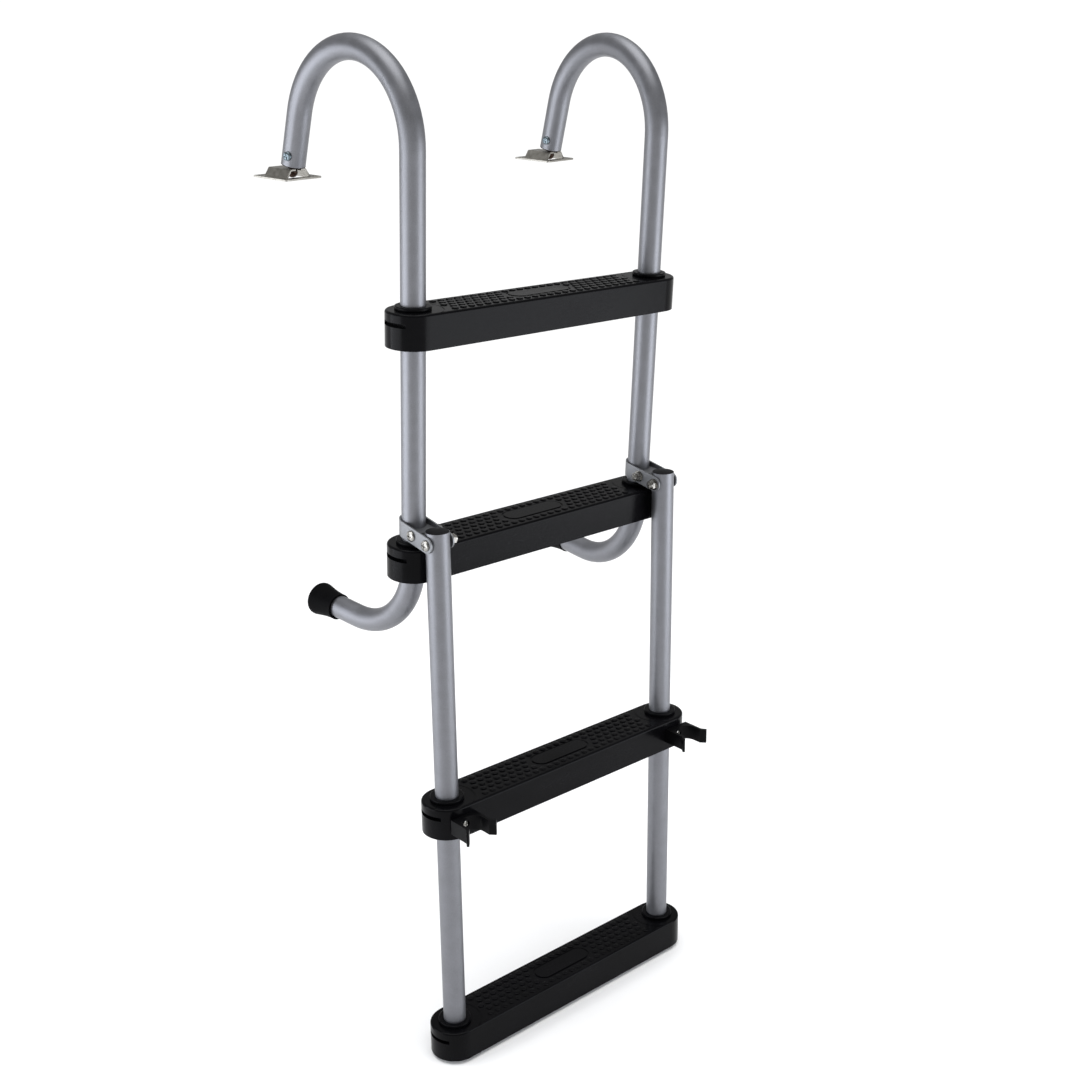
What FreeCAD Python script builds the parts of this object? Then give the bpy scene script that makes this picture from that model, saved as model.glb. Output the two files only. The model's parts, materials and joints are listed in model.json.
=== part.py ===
"""Folding boat boarding ladder: hooked upper section, hinged lower section, swivelling deck plates.

Millimetres, +Z up, +X along the steps, +Y towards the boat.  The origin lies on the deck,
midway between the two swivel balls.  Four working frames are used:
    world   the ladder as it hangs
    rail    one upper rail: Z up its straight run, Y in the plane of its bends, Z = 0 at the hook's centre
    leg     one hook end: origin at the swivel ball, Z up the leg
    fold    the lower section: origin on the fold axis, Z up the lower rails
"""
import FreeCAD, Part
import math
import os

import Sketcher

Vector = FreeCAD.Vector
Rotation = FreeCAD.Rotation
Placement = FreeCAD.Placement

SIDES = {"left": -1, "right": 1}
X_AXIS = Vector(1, 0, 0)
Y_AXIS = Vector(0, 1, 0)
Z_AXIS = Vector(0, 0, 1)

DIMENSIONS = {
    # tubes
    "rail_diameter": 25.4,
    "rail_wall": 1.6,
    "rail_spacing": 325.0,
    "hook_radius": 88.8,
    "hook_lean": 14.1,
    "hook_leg": 54.5,
    "toe_angle": 4.4,
    "standoff_radius": 95.0,
    "standoff_start": -414.5,
    "standoff_leg": 58.0,
    # deck plate and swivel
    "plate_side": 50.8,
    "plate_sheet": 1.8,
    "plate_corner": 3.0,
    "plate_turn": 11.0,
    "bridge_height": 10.0,
    "bridge_width": 33.4,
    "bridge_top": 21.0,
    "bridge_foot": 33.0,
    "bridge_hole": 10.5,
    "bridge_lap": 0.8,
    "bridge_skew": 0.9,
    "bridge_slot": 7.4,
    "stud_offset": 7.5,
    "window_margin": 0.3,
    "plate_hole": 5.0,
    "plate_hole_offset": 20.0,
    "ball_diameter": 11.0,
    "ball_height": 5.9,
    "ball_drop": 8.66,
    "stud_diameter": 6.4,
    "stud_flange": 11.0,
    "stud_flange_height": 2.5,
    "stud_length": 15.0,
    "flange_gap": 0.2,
    "plug_length": 24.0,
    "plug_gap": 0.1,
    "cutter_excess": 1.0,
    "cross_screw": 5.0,
    "cross_screw_head": 9.5,
    "cross_screw_height": 2.6,
    "cross_screw_up": 19.2,
    "cross_screw_turn": 20.0,
    "cross_screw_bite": 4.0,
    # steps
    "step_depth": 56.0,
    "step_height": 36.0,
    "step_floor": 4.0,
    "step_wall": 3.5,
    "step_edge": 2.5,
    "step_cells": 3.0,
    "cell_span": 280.0,
    "rib": 3.0,
    "pad_length": 77.0,
    "pad_depth": 22.0,
    "pad_rise": 0.5,
    "moat_width": 2.0,
    "moat_depth": 0.7,
    "boss_radius": 30.0,
    "boss_groove": 0.9,
    "boss_groove_depth": 0.5,
    "slot_width": 35.0,
    "slot_height": 4.4,
    "slot_drop": 9.5,
    "slot_depth": 8.0,
    "collar_diameter": 37.0,
    "collar_rise": 4.0,
    "collar_edge": 1.2,
    "collar_spigot": 8.0,
    "spigot_diameter": 30.0,
    "step_screw": 4.2,
    "step_screw_head": 8.0,
    "step_screw_height": 2.6,
    "screw_sink": 3.0,
    "screw_bite": 3.0,
    "screw_point": 0.8,
    "recess_width": 1.1,
    "top_step": -150.5,
    "second_step": -394.1,
    "third_step": -290.0,
    "bottom_step": -572.2,
    # fold hinge
    "fold_lean": 3.5,
    "fold_forward": 41.0,
    "fold_above_step": 11.5,
    "rail_top": 12.0,
    "bracket_sheet": 2.0,
    "bracket_gap": 13.0,
    "bracket_half": 8.7,
    "bracket_slope": 7.0,
    "clamp_forward": 16.4,
    "sweep_gap": 18.0,
    "saddle_reach": 27.9,
    "saddle_top": 7.5,
    "saddle_bottom": -6.5,
    "saddle_cut": 4.0,
    "cutter_length": 80.0,
    "hinge_bolt": 6.0,
    "bolt_head": 11.5,
    "bolt_head_height": 3.2,
    "washer_diameter": 13.0,
    "washer_thickness": 1.2,
    "nut_flats": 10.0,
    "nut_height": 6.0,
    "thread_showing": 1.5,
    "bush_diameter": 9.0,
    "bush_length": 25.2,
    "fit_gap": 0.05,
    # end fittings
    "cap_wall": 2.0,
    "cap_end": 37.0,
    "cap_length": 34.5,
    "cap_socket": 26.0,
    "rail_cap": 24.4,
    "rail_cap_rise": 1.4,
    "rail_cap_stem": 6.0,
    "rail_cap_edge": 1.0,
    "stem_chamfer": 1.5,
    # storage clip
    "clip_forward": 46.0,
    "clip_bore": 26.1,
    "clip_outer": 33.0,
    "clip_height": 17.0,
    "clip_arm": 9.5,
    "clip_lip": 15.0,
    "clip_flare": 41.0,
    "clip_drop": 18.0,
    "clip_seat": 3.0,
    "clip_screw": 4.0,
    "clip_screw_head": 8.0,
    "clip_screw_length": 12.0,
    "clip_screw_height": 1.9,
    "clip_root": 2.0,
    "clip_lip_edge": 1.5,
    "clip_lip_thickness": 2.2,
    "clip_pocket": 8.0,
}

# Outline of a pan head: (share of the head's radius, share of its height).
HEAD_OUTLINE = ((1.0, 0.4), (0.88, 0.75), (0.6, 0.95))
RECESS_REACH = 0.3
RECESS_DEPTH = 0.5

# Outline of the standoff's tip: (share of the way from sleeve to flare, share of its length).
TIP_OUTLINE = ((0.0, 0.0), (0.13, 0.25), (0.34, 0.55), (0.76, 0.83), (1.0, 0.93), (0.68, 1.0))

# Share of a lock nut's height that is hexagonal, and its collar's radius as a share of the flats.
NUT_HEX_SHARE = 0.7
NUT_COLLAR_SHARE = 0.43

doc = FreeCAD.newDocument("boarding_ladder")
sheet = doc.addObject("Spreadsheet::Sheet", "Dimensions")
sub_parts = {}


def fill_sheet():
    """Write every driving dimension to the sheet as text, with its alias."""
    for row, (alias, number) in enumerate(DIMENSIONS.items(), start=1):
        sheet.set(f"A{row}", alias)
        sheet.set(f"B{row}", str(number))
        sheet.setAlias(f"B{row}", alias)
    doc.recompute()


def size(alias):
    """Value of one driving dimension, read back from the sheet."""
    return float(sheet.get(alias))


def bound(text):
    """Turn words such as 'rail_diameter / 2' into an expression on the sheet's cells."""
    words = []
    for word in text.replace("(", "( ").replace(")", " )").split():
        sign = "-" if word.startswith("-") and len(word) > 1 else ""
        name = word[len(sign):]
        words.append(sign + "Dimensions." + name if name in DIMENSIONS else word)
    return " ".join(words)


def number_of(text):
    """Present value of an expression on the sheet's cells."""
    return float(sheet.evalExpression(bound(text)))


def bind(feature, **sizes):
    """Bind properties of a feature to expressions on the sheet."""
    for name, text in sizes.items():
        feature.setExpression(name, bound(text))


# ---------------------------------------------------------------- modelling helpers

def new_body(name):
    """Empty PartDesign body."""
    return doc.addObject("PartDesign::Body", name)


def origin_plane(body, role):
    """Origin plane of a body, found by its role."""
    return next(item for item in body.Origin.OriginFeatures if item.Role == role)


def new_sketch(body, role, name, offset=None):
    """Sketch attached to one of the body's own origin planes."""
    sketch = body.newObject("Sketcher::SketchObject", name)
    sketch.AttachmentSupport = (origin_plane(body, role), [""])
    sketch.MapMode = "FlatFace"
    if offset is not None:
        sketch.AttachmentOffset = Placement(offset, Rotation())
    return sketch


def name_and_bind(sketch, index, name, text):
    """Name a constraint and bind its datum to the sheet."""
    sketch.renameConstraint(index, name)
    sketch.setExpression("Constraints." + name, bound(text))


def add_polygon(sketch, points, tag="p"):
    """Closed polygon whose corners are pairs of sheet expressions (x, y)."""
    corners = [Vector(number_of(x), number_of(y), 0) for x, y in points]
    first = sketch.GeometryCount
    count = len(corners)
    for i in range(count):
        sketch.addGeometry(Part.LineSegment(corners[i], corners[(i + 1) % count]), False)
    for i in range(count):
        sketch.addConstraint(Sketcher.Constraint("Coincident", first + i, 2, first + (i + 1) % count, 1))
    for i, (x, y) in enumerate(points):
        for kind, value, text in (("DistanceX", corners[i].x, x), ("DistanceY", corners[i].y, y)):
            index = sketch.addConstraint(Sketcher.Constraint(kind, -1, 1, first + i, 1, value))
            name_and_bind(sketch, index, f"{tag}{i}_{kind[-1].lower()}", text)
    return sketch


def add_circle(sketch, x, y, radius, tag="c"):
    """Circle with its centre and radius bound to the sheet."""
    centre = Vector(number_of(x), number_of(y), 0)
    geometry = sketch.addGeometry(Part.Circle(centre, Z_AXIS, number_of(radius)), False)
    for kind, value, text in (("DistanceX", centre.x, x), ("DistanceY", centre.y, y)):
        index = sketch.addConstraint(Sketcher.Constraint(kind, -1, 1, geometry, 3, value))
        name_and_bind(sketch, index, f"{tag}_{kind[-1].lower()}", text)
    index = sketch.addConstraint(Sketcher.Constraint("Radius", geometry, number_of(radius)))
    name_and_bind(sketch, index, f"{tag}_radius", radius)
    return sketch


def new_feature(body, kind, name):
    """Next feature of a body, made its tip."""
    feature = body.newObject("PartDesign::" + kind, name)
    body.Tip = feature
    return feature


def pad(body, sketch, length, midplane=False, reverse=False):
    """Pad a sketch by a bound length."""
    feature = new_feature(body, "Pad", sketch.Name + "_pad")
    feature.Profile = sketch
    feature.Midplane = midplane
    feature.Reversed = reverse
    bind(feature, Length=length)
    return feature


def pocket(body, sketch, length, midplane=False, reverse=False):
    """Pocket a sketch by a bound length and make sure that it removed material."""
    doc.recompute()
    before = body.Shape.Volume
    feature = new_feature(body, "Pocket", sketch.Name + "_pocket")
    feature.Profile = sketch
    feature.Midplane = midplane
    feature.Reversed = reverse
    bind(feature, Length=length)
    doc.recompute()
    if body.Shape.Volume >= before - 1e-6:
        raise ValueError(f"{feature.Name} removed nothing: {before} {body.Shape.Volume} {feature.State}")
    return feature


def revolve(body, points, role="XZ_Plane", name="profile"):
    """Full turn of a closed polygon (radius, height) about the sketch's upright axis."""
    sketch = add_polygon(new_sketch(body, role, body.Name + "_" + name), points)
    feature = new_feature(body, "Revolution", body.Name + "_turn")
    feature.Profile = sketch
    feature.ReferenceAxis = (sketch, ["V_Axis"])
    feature.Angle = 360.0
    return feature


def cylinder(body, kind, name, radius, height, placement):
    """Additive or subtractive cylinder with bound radius and height."""
    feature = new_feature(body, kind + "Cylinder", name)
    feature.Placement = placement
    bind(feature, Radius=radius, Height=height)
    return feature


def box(body, kind, name, length, width, height, corner):
    """Additive or subtractive box with bound sizes; corner is its lowest corner."""
    feature = new_feature(body, kind + "Box", name)
    feature.Placement = Placement(corner, Rotation())
    bind(feature, Length=length, Width=width, Height=height)
    return feature


def along(direction):
    """Rotation that carries +Z to a direction."""
    return Rotation(Z_AXIS, direction)


def soften(body, radius, wanted):
    """Fillet the edges of the body's tip that a test picks."""
    doc.recompute()
    names = [f"Edge{i}" for i, edge in enumerate(body.Shape.Edges, start=1) if wanted(edge)]
    base = body.Tip
    feature = new_feature(body, "Fillet", body.Name + "_fillet")
    feature.Base = (base, names)
    bind(feature, Radius=radius)
    return feature


def at_height(edge, height):
    """True for an edge that lies wholly at one height."""
    limits = edge.BoundBox
    return abs(limits.ZMin - height) < 1e-4 and abs(limits.ZMax - height) < 1e-4


def finish(label, item, placement=None):
    """Label a sub-part, place it and list it for export."""
    item.Label = label
    if placement is not None:
        item.Placement = placement
    sub_parts[label] = item


def gather(label, items):
    """One node holding several identical separate pieces."""
    group = doc.addObject("Part::Compound", label + "_group")
    group.Links = items
    finish(label, group)


# ---------------------------------------------------------------- working frames

def hook_reach():
    """Distance of the swivel ball from the rail's axis, in the plane of the bends."""
    lean = math.radians(size("hook_lean"))
    run = size("hook_leg") + size("ball_drop")
    return size("hook_radius") * (1 + math.cos(lean)) + run * math.sin(lean)


def hook_centre_height():
    """Height of the hook's centre of curvature above the deck."""
    lean = math.radians(size("hook_lean"))
    run = size("hook_leg") + size("ball_drop")
    return size("ball_height") + run * math.cos(lean) - size("hook_radius") * math.sin(lean)


def rail_axis_y():
    """World Y of the upper rails' axes."""
    return -hook_reach() * math.cos(math.radians(size("toe_angle")))


def rail_frame(side):
    """Frame of one upper rail: the plane of its bends toes outwards."""
    base = Vector(side * size("rail_spacing") / 2, rail_axis_y(), hook_centre_height())
    return Placement(base, Rotation(Z_AXIS, -side * size("toe_angle")))


def leg_frame(side):
    """Frame at the swivel ball, Z up the leg of the hook."""
    lean = math.radians(size("hook_lean"))
    run = size("hook_leg") + size("ball_drop")
    ball = Vector(0, hook_reach(), size("hook_radius") * math.sin(lean) - run * math.cos(lean))
    return rail_frame(side).multiply(Placement(ball, Rotation(X_AXIS, size("hook_lean"))))


def deck_frame(side):
    """Frame of one deck plate: the middle of its underside, behind the swivel ball."""
    ball = leg_frame(side).Base
    turn = Rotation(Z_AXIS, size("plate_turn"))
    return Placement(Vector(ball.x, ball.y, 0) + turn.multVec(Vector(0, size("stud_offset"), 0)), turn)


def step_frame(height):
    """Frame of an upper step: the middle of its tread."""
    return Placement(Vector(0, rail_axis_y(), hook_centre_height() + size(height)), Rotation())


def fold_point():
    """A point on the fold axis, midway between the rails."""
    height = hook_centre_height() + size("second_step") + size("fold_above_step")
    return Vector(0, rail_axis_y() - size("fold_forward"), height)


def fold_frame(x=0.0, height=0.0):
    """Frame of the lower section, leaning forward at its foot."""
    turned = Placement(fold_point(), Rotation(X_AXIS, -size("fold_lean")))
    return turned.multiply(Placement(Vector(x, 0, height), Rotation()))


def rail_x(side):
    """X of a rail's axis."""
    return side * size("rail_spacing") / 2


# ---------------------------------------------------------------- rails

def tube_path(body):
    """Path of an upper rail: standoff leg, standoff bend, straight run, hook, hook leg."""
    sketch = new_sketch(body, "YZ_Plane", body.Name + "_path")
    lean = math.radians(size("hook_lean"))
    bend = size("standoff_radius")
    start = size("standoff_start")
    hook = size("hook_radius")
    leg = size("hook_leg")
    shoulder = Vector(hook * (1 + math.cos(lean)), hook * math.sin(lean), 0)
    tip = shoulder + Vector(leg * math.sin(lean), -leg * math.cos(lean), 0)
    heel = Vector(bend, start - bend, 0)
    toe = heel + Vector(size("standoff_leg"), 0, 0)
    sketch.addGeometry(Part.LineSegment(toe, heel), False)
    circle = Part.Circle(Vector(bend, start, 0), Z_AXIS, bend)
    sketch.addGeometry(Part.ArcOfCircle(circle, math.pi, 1.5 * math.pi))
    sketch.addGeometry(Part.LineSegment(Vector(0, start, 0), Vector(0, 0, 0)), False)
    sketch.addGeometry(Part.ArcOfCircle(Part.Circle(Vector(hook, 0, 0), Z_AXIS, hook), lean, math.pi))
    sketch.addGeometry(Part.LineSegment(shoulder, tip), False)
    for joint in ((0, 2, 1, 2), (1, 1, 2, 1), (2, 2, 3, 2), (3, 1, 4, 1)):
        sketch.addConstraint(Sketcher.Constraint("Tangent", *joint))
    sketch.addConstraint(Sketcher.Constraint("Coincident", 2, 2, -1, 1))
    sketch.addConstraint(Sketcher.Constraint("Vertical", 2))
    sketch.addConstraint(Sketcher.Constraint("Horizontal", 0))
    datums = (
        (Sketcher.Constraint("Radius", 1, bend), "bend", "standoff_radius"),
        (Sketcher.Constraint("Radius", 3, hook), "hook", "hook_radius"),
        (Sketcher.Constraint("Distance", 0, size("standoff_leg")), "foot", "standoff_leg"),
        (Sketcher.Constraint("Distance", 2, -start), "run", "-1 * standoff_start"),
        (Sketcher.Constraint("Distance", 4, leg), "leg", "hook_leg"),
        (Sketcher.Constraint("DistanceY", 3, 3, 3, 1, shoulder.y), "lean",
         "hook_radius * sin( hook_lean * 1 deg )"),
    )
    for constraint, name, text in datums:
        name_and_bind(sketch, sketch.addConstraint(constraint), name, text)
    return sketch


def make_upper_rail(name, side):
    """Bent tube with the holes for the plug screw and the step screws."""
    body = new_body(name + "_upper_rail_body")
    path = tube_path(body)
    ring = new_sketch(body, "XZ_Plane", body.Name + "_ring", Vector())
    bind(ring, **{
        "AttachmentOffset.Base.y": "standoff_start - standoff_radius",
        "AttachmentOffset.Base.z": "-1 * ( standoff_radius + standoff_leg )",
    })
    add_circle(ring, "0", "0", "rail_diameter / 2", "outer")
    add_circle(ring, "0", "0", "rail_diameter / 2 - rail_wall", "inner")
    doc.recompute()
    sweep = new_feature(body, "AdditivePipe", body.Name + "_sweep")
    sweep.Profile = ring
    sweep.Spine = (path, ["Edge1", "Edge2", "Edge3", "Edge4", "Edge5"])
    to_rail = rail_frame(side).inverse()
    drill_plug_screw(body, to_rail.multiply(leg_frame(side)))
    for height in ("top_step", "second_step"):
        drill_step_screw(body, to_rail.multiply(step_frame(height)), side)
    finish(name + "_upper_rail", body, rail_frame(side))


def make_lower_rail(name, side):
    """Straight tube from above the fold axis down into the bottom step."""
    body = new_body(name + "_lower_rail_body")
    ring = new_sketch(body, "XY_Plane", body.Name + "_ring", Vector())
    bind(ring, **{"AttachmentOffset.Base.z": "rail_top"})
    add_circle(ring, "0", "0", "rail_diameter / 2", "outer")
    add_circle(ring, "0", "0", "rail_diameter / 2 - rail_wall", "inner")
    pad(body, ring, "rail_top - bottom_step + step_height - step_floor", reverse=True)
    bolt = Placement(Vector(-size("rail_diameter"), 0, 0), along(X_AXIS))
    cylinder(body, "Subtractive", body.Name + "_bolt_hole", "bush_diameter / 2 + fit_gap / 2",
             "2 * rail_diameter", bolt)
    for height in ("third_step", "bottom_step"):
        shift = Placement(Vector(-rail_x(side), 0, size(height)), Rotation())
        drill_step_screw(body, shift, side)
    finish(name + "_lower_rail", body, fold_frame(rail_x(side)))


# ---------------------------------------------------------------- steps

def drill_step_screw(body, frame, side):
    """Hole for one step screw, driven from the back of the step into the rail."""
    mouth = Vector(rail_x(side), size("step_depth") / 2, -size("step_height") / 2)
    place = frame.multiply(Placement(mouth, along(-1 * Y_AXIS)))
    cylinder(body, "Subtractive", f"{body.Name}_step_screw_hole_{len(body.Group)}",
             "step_screw / 2", "step_depth / 2 - rail_diameter / 4", place)


def make_step(label, frame, closed, with_clips=False):
    """Moulded step: round-ended block, ribbed underneath, bored for the rails."""
    body = new_body(label + "_body")
    depth = size("step_depth")
    half = size("rail_spacing") / 2
    box(body, "Additive", label + "_block", "rail_spacing", "step_depth", "step_height",
        Vector(-half, -depth / 2, -size("step_height")))
    for name, side in SIDES.items():
        end = Placement(Vector(side * half, 0, -size("step_height")), Rotation())
        cylinder(body, "Additive", f"{label}_{name}_end", "step_depth / 2", "step_height", end)
    soften(body, "step_edge", lambda edge: at_height(edge, 0))
    hollow_underside(body, label)
    for name, side in SIDES.items():
        bore_step_end(body, f"{label}_{name}", side, closed)
        drill_step_screw(body, Placement(), side)
        floor = depth / 2 - size("screw_sink")
        sink = Placement(Vector(side * half, floor, -size("step_height") / 2), along(Y_AXIS))
        cylinder(body, "Subtractive", f"{label}_{name}_sink", "step_screw_head / 2 + fit_gap",
                 "screw_sink + cutter_excess", sink)
        if with_clips:
            face = -depth / 2 - size("cutter_excess")
            pilot = Placement(Vector(side * half, face, -size("clip_drop")), along(Y_AXIS))
            cylinder(body, "Subtractive", f"{label}_{name}_pilot", "clip_screw / 2", "clip_screw_length",
                     pilot)
    score_end_bosses(body, label)
    add_foot_pad(body, label)
    finish(label, body, frame)


def hollow_underside(body, label):
    """Row of open cells under the tread, with ribs left between them."""
    sketch = new_sketch(body, "XY_Plane", label + "_cells", Vector())
    bind(sketch, **{"AttachmentOffset.Base.z": "-1 * step_height"})
    cells = int(size("step_cells"))
    width = f"( cell_span - {cells - 1} * rib ) / {cells}"
    back = "step_depth / 2 - step_wall"
    for i in range(cells):
        low = f"{i} * ( {width} + rib ) - cell_span / 2"
        high = f"{low} + {width}"
        add_polygon(sketch,
                    [(low, f"-1 * ( {back} )"), (high, f"-1 * ( {back} )"), (high, back), (low, back)],
                    f"cell{i}_")
    pocket(body, sketch, "step_height - step_floor", reverse=True)


def bore_step_end(body, prefix, side, closed):
    """Rail bore, collar seat and drain slot at one end of a step."""
    half = size("rail_spacing") / 2
    depth = "step_height - step_floor" if closed else "step_height + cutter_excess"
    down = Placement(Vector(side * half, 0, 0), along(-1 * Z_AXIS))
    cylinder(body, "Subtractive", prefix + "_bore", "rail_diameter / 2 + fit_gap", depth, down)
    seat = Placement(Vector(side * half, 0, 0), along(-1 * Z_AXIS))
    cylinder(body, "Subtractive", prefix + "_seat", "spigot_diameter / 2 + fit_gap", "collar_spigot", seat)
    outer = size("rail_spacing") / 2 + size("step_depth") / 2
    inner = side * outer if side < 0 else outer - size("slot_depth")
    corner = Vector(inner, -size("slot_width") / 2, -size("slot_drop") - size("slot_height"))
    box(body, "Subtractive", prefix + "_slot", "slot_depth", "slot_width", "slot_height", corner)


def score_end_bosses(body, label):
    """Shallow groove round each end of the tread, concentric with the rail."""
    sketch = new_sketch(body, "XY_Plane", label + "_bosses")
    for name, centre in (("left", "-1 * rail_spacing / 2"), ("right", "rail_spacing / 2")):
        add_circle(sketch, centre, "0", "boss_radius + boss_groove", name + "_outer")
        add_circle(sketch, centre, "0", "boss_radius", name + "_inner")
    pocket(body, sketch, "boss_groove_depth")


def add_stadium(body, kind, name, margin, bottom, height):
    """Round-ended block on the middle of the tread, added or cut, wider than the pad by a margin."""
    straight = size("pad_length") - size("pad_depth")
    half = size("pad_depth") / 2 + number_of(margin)
    low = number_of(bottom)
    box(body, kind, name + "_middle", "pad_length - pad_depth", f"pad_depth + 2 * {margin}", height,
        Vector(-straight / 2, -half, low))
    for side_name, side in SIDES.items():
        end = Placement(Vector(side * straight / 2, 0, low), Rotation())
        cylinder(body, kind, f"{name}_{side_name}", f"pad_depth / 2 + {margin}", height, end)


def add_foot_pad(body, label):
    """Smooth raised pad in the middle of the tread, with a narrow moat round it."""
    add_stadium(body, "Subtractive", label + "_moat", "moat_width", "-1 * moat_depth",
                "moat_depth + cutter_excess")
    add_stadium(body, "Additive", label + "_pad", "0", "-1 * moat_depth", "moat_depth + pad_rise")


def make_collar(name, placement):
    """Flanged collar that fills the gap between a step and a rail."""
    body = new_body(name)
    bore = "rail_diameter / 2 + fit_gap / 2"
    outer = "collar_diameter / 2"
    revolve(body, [
        (bore, "-1 * collar_spigot"),
        ("spigot_diameter / 2", "-1 * collar_spigot"),
        ("spigot_diameter / 2", "0"),
        (outer, "0"),
        (outer, "collar_rise - collar_edge"),
        (f"{outer} - collar_edge", "collar_rise"),
        (bore, "collar_rise"),
    ])
    body.Placement = placement
    return body


def make_collars(label, frame):
    """The two collars of one step."""
    items = []
    for name, side in SIDES.items():
        shift = Placement(Vector(rail_x(side), 0, 0), Rotation())
        items.append(make_collar(f"{label}_{name}", frame.multiply(shift)))
    gather(label, items)


def make_screw(name, head, shank, height, length, placement):
    """Pan-head screw, seat at Z = 0, shank down, cross recess in the head."""
    body = new_body(name)
    stem = f"( {shank} ) / 2"
    revolve(body, [
        ("0", f"-1 * ( {length} )"),
        (f"{stem} - screw_point", f"-1 * ( {length} )"),
        (stem, f"screw_point - ( {length} )"),
        (stem, "0"),
        (f"{head} / 2", "0"),
        *[(f"{head} / 2 * {across}", f"{height} * {up}") for across, up in HEAD_OUTLINE],
        ("0", height),
    ])
    long = f"2 * {RECESS_REACH} * {head}"
    deep = f"{height} * {RECESS_DEPTH}"
    arms = {"across": (long, "recess_width"), "upright": ("recess_width", long)}
    for turn, (along_x, along_y) in arms.items():
        low = Vector(-number_of(along_x) / 2, -number_of(along_y) / 2, number_of(f"{height} - {deep}"))
        box(body, "Subtractive", f"{name}_{turn}", along_x, along_y, f"{deep} + cutter_excess", low)
    body.Placement = placement
    return body


def make_step_screws(label, frames):
    """Screws that lock the steps to the rails, two in each step."""
    items = []
    for row, frame in enumerate(frames):
        for name, side in SIDES.items():
            seat = Vector(rail_x(side), size("step_depth") / 2 - size("screw_sink"), -size("step_height") / 2)
            place = frame.multiply(Placement(seat, along(Y_AXIS)))
            items.append(make_screw(f"{label}_{row}_{name}", "step_screw_head", "step_screw - fit_gap",
                                    "step_screw_height",
                                    "step_depth / 2 - screw_sink - rail_diameter / 2 + screw_bite", place))
    gather(label, items)


# ---------------------------------------------------------------- hook ends

def drill_plug_screw(body, frame):
    """Hole for the cross screw that holds the plug in the hook's leg."""
    cylinder(body, "Subtractive", body.Name + "_plug_screw_hole", "cross_screw / 2 + fit_gap / 2",
             "rail_diameter / 2 + cross_screw_bite + 2 * cutter_excess",
             frame.multiply(plug_screw_place(size("rail_diameter") / 2 + size("cutter_excess"))))


def plug_screw_place(distance):
    """Placement of the cross screw in the leg frame, Z inwards from the tube's surface."""
    turn = Rotation(Z_AXIS, size("cross_screw_turn"))
    outward = turn.multVec(-1 * X_AXIS)
    return Placement(outward * distance + Z_AXIS * size("cross_screw_up"), along(-1 * outward))


def make_plug(name, side):
    """Plug in the end of the hook, moulded round the flange of the swivel stud."""
    body = new_body(name + "_hook_plug_body")
    outer = "rail_diameter / 2 - rail_wall - plug_gap"
    chamber = "stud_flange / 2 + flange_gap"
    bore = "stud_diameter / 2 + fit_gap"
    revolve(body, [
        (bore, "ball_drop"),
        (outer, "ball_drop"),
        (outer, "ball_drop + plug_length"),
        ("0", "ball_drop + plug_length"),
        ("0", "stud_length + flange_gap"),
        (chamber, "stud_length + flange_gap"),
        (chamber, "stud_length - stud_flange_height - flange_gap"),
        (bore, "stud_length - stud_flange_height - flange_gap"),
    ])
    drill_plug_screw(body, Placement())
    finish(name + "_hook_plug", body, leg_frame(side))


def make_cross_screws():
    """Round-head screws through the hook ends into the plugs."""
    items = []
    for name, side in SIDES.items():
        seat = plug_screw_place(size("rail_diameter") / 2)
        outward = Placement(seat.Base, seat.Rotation.multiply(Rotation(X_AXIS, 180)))
        items.append(make_screw(f"cross_screw_{name}",
                                "cross_screw_head", "cross_screw", "cross_screw_height",
                                "rail_diameter / 2 + cross_screw_bite", leg_frame(side).multiply(outward)))
    gather("hook_cross_screws", items)


def make_stud(name, side):
    """Swivel stud: ball below, neck, and a flange that the plug holds."""
    body = new_body(name + "_swivel_stud_body")
    neck = "stud_diameter / 2"
    ball = new_feature(body, "AdditiveSphere", body.Name + "_ball")
    bind(ball, Radius="ball_diameter / 2")
    cylinder(body, "Additive", body.Name + "_neck", neck, "stud_length", Placement())
    flange = Placement(Vector(0, 0, size("stud_length") - size("stud_flange_height")), Rotation())
    cylinder(body, "Additive", body.Name + "_flange", "stud_flange / 2", "stud_flange_height", flange)
    finish(name + "_swivel_stud", body, leg_frame(side))


def make_deck_plate(name, side):
    """Stamped plate with four screw holes and a raised bridge, slotted from its front to the swivel ball."""
    body = new_body(name + "_deck_plate_body")
    half = size("plate_side") / 2
    box(body, "Additive", body.Name + "_sheet", "plate_side", "plate_side", "plate_sheet",
        Vector(-half, -half, 0))
    soften(body, "plate_corner",
           lambda edge: abs(edge.BoundBox.ZLength - size("plate_sheet")) < 1e-4)
    window = new_sketch(body, "XY_Plane", body.Name + "_window")
    wide = "bridge_foot / 2 + window_margin"
    deep = "bridge_width / 2 + window_margin"
    add_polygon(window, [(f"-1 * ( {wide} )", f"-1 * ( {deep} )"), (wide, f"-1 * ( {deep} )"),
                         (wide, deep), (f"-1 * ( {wide} )", deep)])
    pocket(body, window, "3 * plate_sheet", midplane=True)
    pad(body, bridge_profile(body), "bridge_width", midplane=True)
    hole = new_sketch(body, "XY_Plane", body.Name + "_holes")
    add_circle(hole, "0", "-1 * stud_offset", "bridge_hole / 2", "ball")
    for i, (x, y) in enumerate(((-1, -1), (1, -1), (1, 1), (-1, 1))):
        add_circle(hole, f"{x} * plate_hole_offset", f"{y} * plate_hole_offset", "plate_hole / 2",
                   f"screw{i}")
    pocket(body, hole, "4 * bridge_height", midplane=True)
    front = -size("bridge_width") / 2 - size("cutter_excess")
    box(body, "Subtractive", body.Name + "_slot", "bridge_slot",
        "bridge_width / 2 + cutter_excess - stud_offset", "bridge_height",
        Vector(-size("bridge_slot") / 2, front, size("bridge_height") / 2))
    finish(name + "_deck_plate", body, deck_frame(side))


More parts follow.
